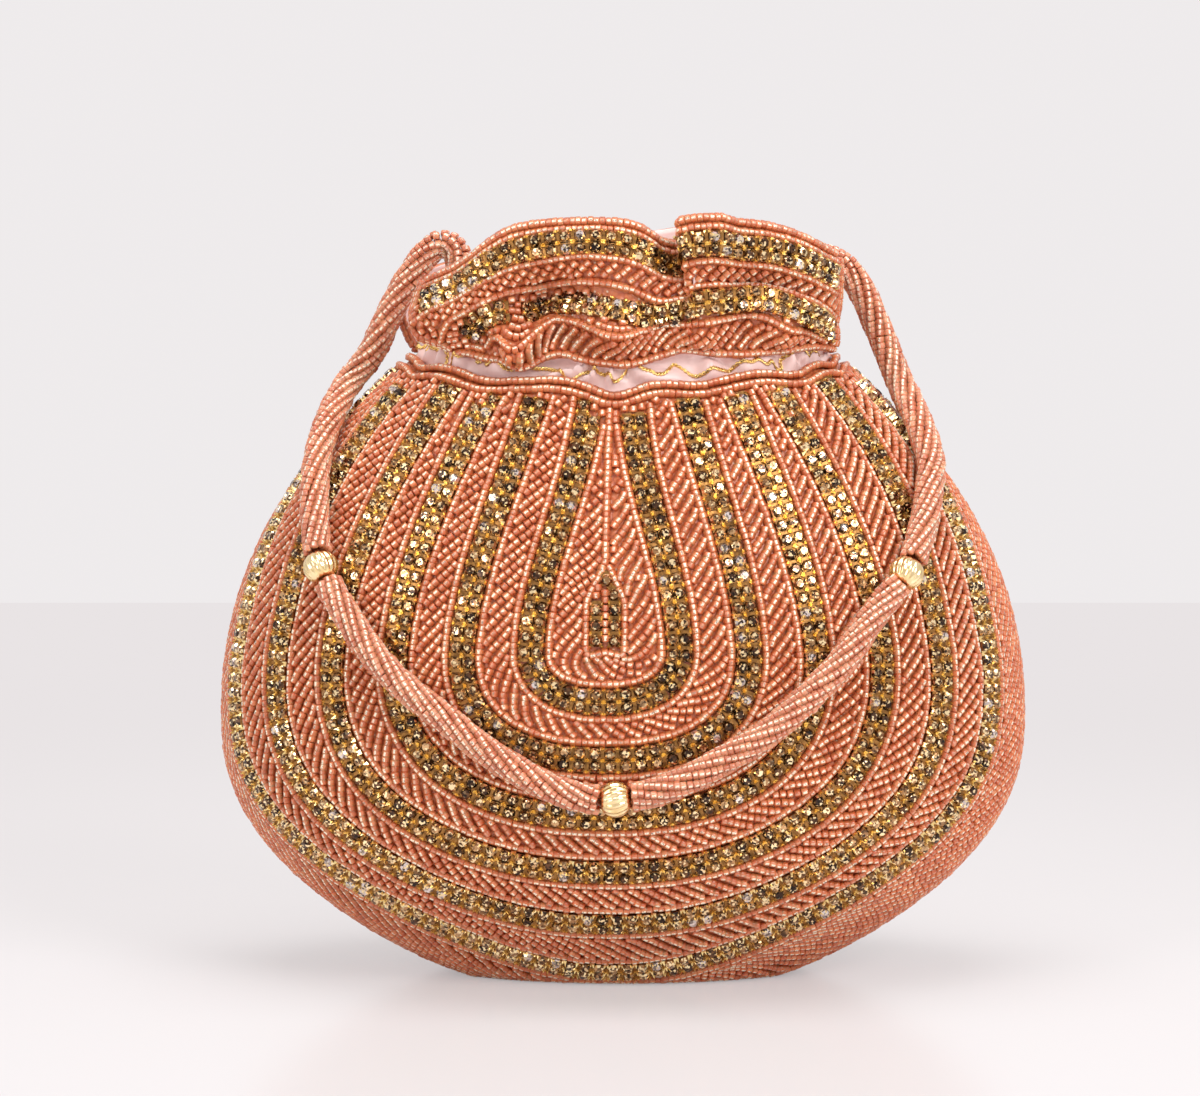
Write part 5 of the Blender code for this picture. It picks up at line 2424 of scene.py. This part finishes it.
    def build(self) -> None:
        rng = np.random.default_rng(self.seed)
        line, stops = self.route()
        room = self.bead_length / 2 - self.bead_overlap
        starts = [0.0] + [stop + room for stop in stops]
        finishes = [stop - room for stop in stops] + [line.length[-1]]
        frames = Frames.joined([self.rope_frames(start, finish, line, rng)
                                for start, finish in zip(starts, finishes)])
        rope = self.strands.stamp(self.detail).piece("handle_rope", frames, self.glass, True)
        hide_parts("handle_rope_left_end", "handle_rope_left_drape",
                    "handle_rope_right_drape", "handle_rope_right_end")
        for stop, place in zip(stops, ("left", "centre", "right")):
            before, middle, after = line.at([stop - 3 * MM, stop, stop + 3 * MM], line.spots)
            bead = self.metal_bead(f"gold_bead_{place}", middle, after - before)
            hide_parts(f"handle_bead_{place}")
        tuple(line.spots[0])
        log.info("handle_rope: %.3f m long", line.length[-1])


# Studio

@dataclass
class Studio:
    """The camera, the lamps, the pale floor and the backdrop."""

    camera_place: tuple = (-0.00575, -0.900, 0.1684)
    camera_drop: float = math.atan(248 / 3600)
    focal_pixels: float = 3600.0
    picture_width: float = 1200.0
    sensor: float = 36.0
    floor_white: tuple = (0.80, 0.77, 0.775)
    floor_seen: tuple = (0.815, 0.775, 0.782)
    floor_reach: tuple = (("From Min", 0.10), ("From Max", 0.75), ("To Min", 0.45), ("To Max", 1.0))
    floor_half: float = 3.0
    floor_near: float = -2.0
    floor_far: float = 1.1
    world_light: tuple = (1.0, 0.985, 0.975)
    world_strength: float = 0.52
    backdrop: tuple = (0.860, 0.832, 0.838)
    lamps: tuple = (
        ("key", (0.66, -0.78, 0.68), (0.55, 0.55), 8.6),
        ("fill", (-0.75, -0.70, 0.50), (0.5, 0.6), 3.6),
        ("top", (0.0, -0.10, 0.98), (0.7, 0.5), 5.6),
    )
    lit_place: tuple = (0.0, 0.0, 0.09)

    def camera(self) -> None:
        """The camera, level with the bag's shoulder and tipped slightly down."""
        lens = bpy.data.cameras.new("camera")
        lens.sensor_width = self.sensor
        lens.lens = self.focal_pixels / self.picture_width * self.sensor
        lens.clip_start, lens.clip_end = 0.05, 20.0
        view = bpy.data.objects.new("camera", lens)
        view.location = self.camera_place
        view.rotation_euler = (math.pi / 2 - self.camera_drop, 0.0, 0.0)
        bpy.context.scene.collection.objects.link(view)
        bpy.context.scene.camera = view

    def lamp(self, name: str, place: tuple, size: tuple, power: float) -> None:
        """A soft rectangular lamp that faces the bag with its X level.

        Args:
            name: The lamp's name.
            place: Where it hangs.
            size: Its width and height.
            power: Its power in watts.
        """
        light = bpy.data.lights.new(name, "AREA")
        light.shape = "RECTANGLE"
        light.size, light.size_y, light.energy = *size, power
        made = bpy.data.objects.new(name, light)
        made.location = place
        x, y, z = unit(np.array(self.lit_place) - np.array(place))
        made.rotation_euler = (math.acos(-z), 0.0, math.atan2(-x, y))
        bpy.context.scene.collection.objects.link(made)

    def floor_material(self) -> Material:
        """The table top's finish, which the camera sees fade into the backdrop's white.

        Returns:
            A pale soft gloss, mixed with a glow that grows with the distance from the bag.
        """
        bench = NodeBench("pale_table")
        bench.shader.inputs["Base Color"].default_value = (*self.floor_white, 1.0)
        bench.sockets(roughness=0.22, specular_ior_level=0.5)
        glow = bench.node("ShaderNodeEmission")
        glow.inputs["Color"].default_value = (*self.floor_seen, 1.0)
        mix = bench.node("ShaderNodeMixShader")
        away = bench.node("ShaderNodeVectorMath", operation="LENGTH")
        bench.link(bench.node("ShaderNodeTexCoord").outputs["Object"], away.inputs[0])
        reach = bench.node("ShaderNodeMapRange", interpolation_type="SMOOTHSTEP")
        for socket, value in self.floor_reach:
            reach.inputs[socket].default_value = value
        seen = bench.node("ShaderNodeMath", operation="MULTIPLY")
        path = bench.node("ShaderNodeLightPath")
        for source, target in ((away.outputs["Value"], reach.inputs["Value"]),
                               (reach.outputs["Result"], seen.inputs[0]),
                               (path.outputs["Is Camera Ray"], seen.inputs[1]),
                               (seen.outputs["Value"], mix.inputs["Fac"]),
                               (bench.shader.outputs["BSDF"], mix.inputs[1]),
                               (glow.outputs["Emission"], mix.inputs[2]),
                               (mix.outputs["Shader"], bench.output.inputs["Surface"])):
            bench.link(source, target)
        return bench.material

    def floor(self) -> None:
        """A pale table top with a soft gloss, ending behind the bag."""
        half, near, far = self.floor_half, self.floor_near, self.floor_far
        verts = [(-half, near, 0.0), (half, near, 0.0), (half, far, 0.0), (-half, far, 0.0)]
        mesh = bpy.data.meshes.new("table")
        mesh.from_pydata(verts, [], [(0, 1, 2, 3)])
        mesh.materials.append(self.floor_material())
        table = bpy.data.objects.new("table", mesh)
        bpy.context.scene.collection.objects.link(table)
        table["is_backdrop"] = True

    def world(self) -> None:
        """Soft light from all round, with the pale backdrop seen by the camera and in gloss."""
        world = bpy.data.worlds.new("studio")
        world.use_nodes = True
        tree = NodeTree(world.node_tree)
        output = tree.node("ShaderNodeOutputWorld")
        mix = tree.node("ShaderNodeMixShader")
        path = tree.node("ShaderNodeLightPath")
        either, every = (tree.node("ShaderNodeMath", operation="MAXIMUM") for _ in range(2))
        lit, seen = (tree.node("ShaderNodeBackground") for _ in range(2))
        for background, colour, strength in ((lit, self.world_light, self.world_strength),
                                             (seen, self.backdrop, 1.0)):
            background.inputs["Color"].default_value = (*colour, 1.0)
            background.inputs["Strength"].default_value = strength
        for source, target in ((path.outputs["Is Camera Ray"], either.inputs[0]),
                               (path.outputs["Is Glossy Ray"], either.inputs[1]),
                               (either.outputs["Value"], every.inputs[0]),
                               (path.outputs["Is Transmission Ray"], every.inputs[1]),
                               (every.outputs["Value"], mix.inputs["Fac"]),
                               (lit.outputs["Background"], mix.inputs[1]),
                               (seen.outputs["Background"], mix.inputs[2]),
                               (mix.outputs["Shader"], output.inputs["Surface"])):
            tree.link(source, target)
        bpy.context.scene.world = world

    def build(self) -> None:
        """Builds the whole studio."""
        self.camera()
        self.world()
        self.floor()
        for name, place, size, power in self.lamps:
            self.lamp(name, place, size, power)
        bpy.context.scene.view_settings.view_transform = "Standard"


# All of it

def main() -> None:
    """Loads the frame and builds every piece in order."""
    logging.basicConfig(level=logging.INFO, format="%(name)s: %(message)s")
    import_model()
    solid_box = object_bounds()
    Studio().build()

    form = PouchForm()
    pattern = LoopPattern(form)
    strands = BeadStrands()
    glass = [BeadGlass().material(), SilverCoreAndHighlight().material()]
    # The prongs get a far brighter gold than the cups: painted glints on the prongs, painted shade
    # on the cups.
    prongs = Gilt("gilt_prong", (0.98, 0.78, 0.38), (0.80, 0.54, 0.20), 0.24, relief=0.4)
    cups = [Gilt().material(), CutStone().material(), prongs.material()]
    cloth = BeadBacking().material()
    satin = Satin().material()
    thread = Gilt("gold_thread", (0.96, 0.72, 0.28), (0.84, 0.56, 0.18), 0.3, relief=0.3)
    thread = thread.material()
    gold = Gilt("pale_gold", (0.92, 0.73, 0.42), (0.80, 0.57, 0.26), 0.13, 420.0, 4200.0, 0.15)
    gold = gold.material()
    rope_glass = BeadGlass("pale_coral_glass", (0.50, 0.155, 0.078), (0.60, 0.220, 0.118),
                           (0.70, 0.300, 0.170))
    # The rope's lining is paler and bright on most beads: more painted highlight.
    rope_lining_highlight = SilverCoreAndHighlight("rope_lining_and_highlight", dull=(0.74, 0.46, 0.34), least=0.0, full=0.30)
    rope_finishes = [rope_glass.material(), rope_lining_highlight.material()]

    BeadRope(form, strands, BeadDetail.FINE, rope_finishes, gold).build()
    trim = Trim(strands, CupChain(), glass, cups, cloth, satin)
    front_frill = FrillForm(form, FRONT_FOLDS, FRONT_CRUMPLES, FRONT_LOBES, tucked=(-29.5, -24.0))
    back_frill = FrillForm(form, BACK_FOLDS, BACK_CRUMPLES, BACK_LOBES, corner_right=11.0 * MM)
    for face, detail, shape, panel_seed, frill_seed in (
            (Face.FRONT, BeadDetail.FINE, front_frill, 11, 21),
            (Face.BACK, BeadDetail.PLAIN, back_frill, 12, 22)):
        BeadedFace(face, detail, panel_seed, trim, pattern).build()
        BeadedFrill(face, detail, frill_seed, trim, shape).build()
    SatinNeck(form, satin, thread).build()

    dressed_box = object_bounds()
    [[list(corner) for corner in box] for box in (solid_box, dressed_box)]


if __name__ == "__main__":
    main()
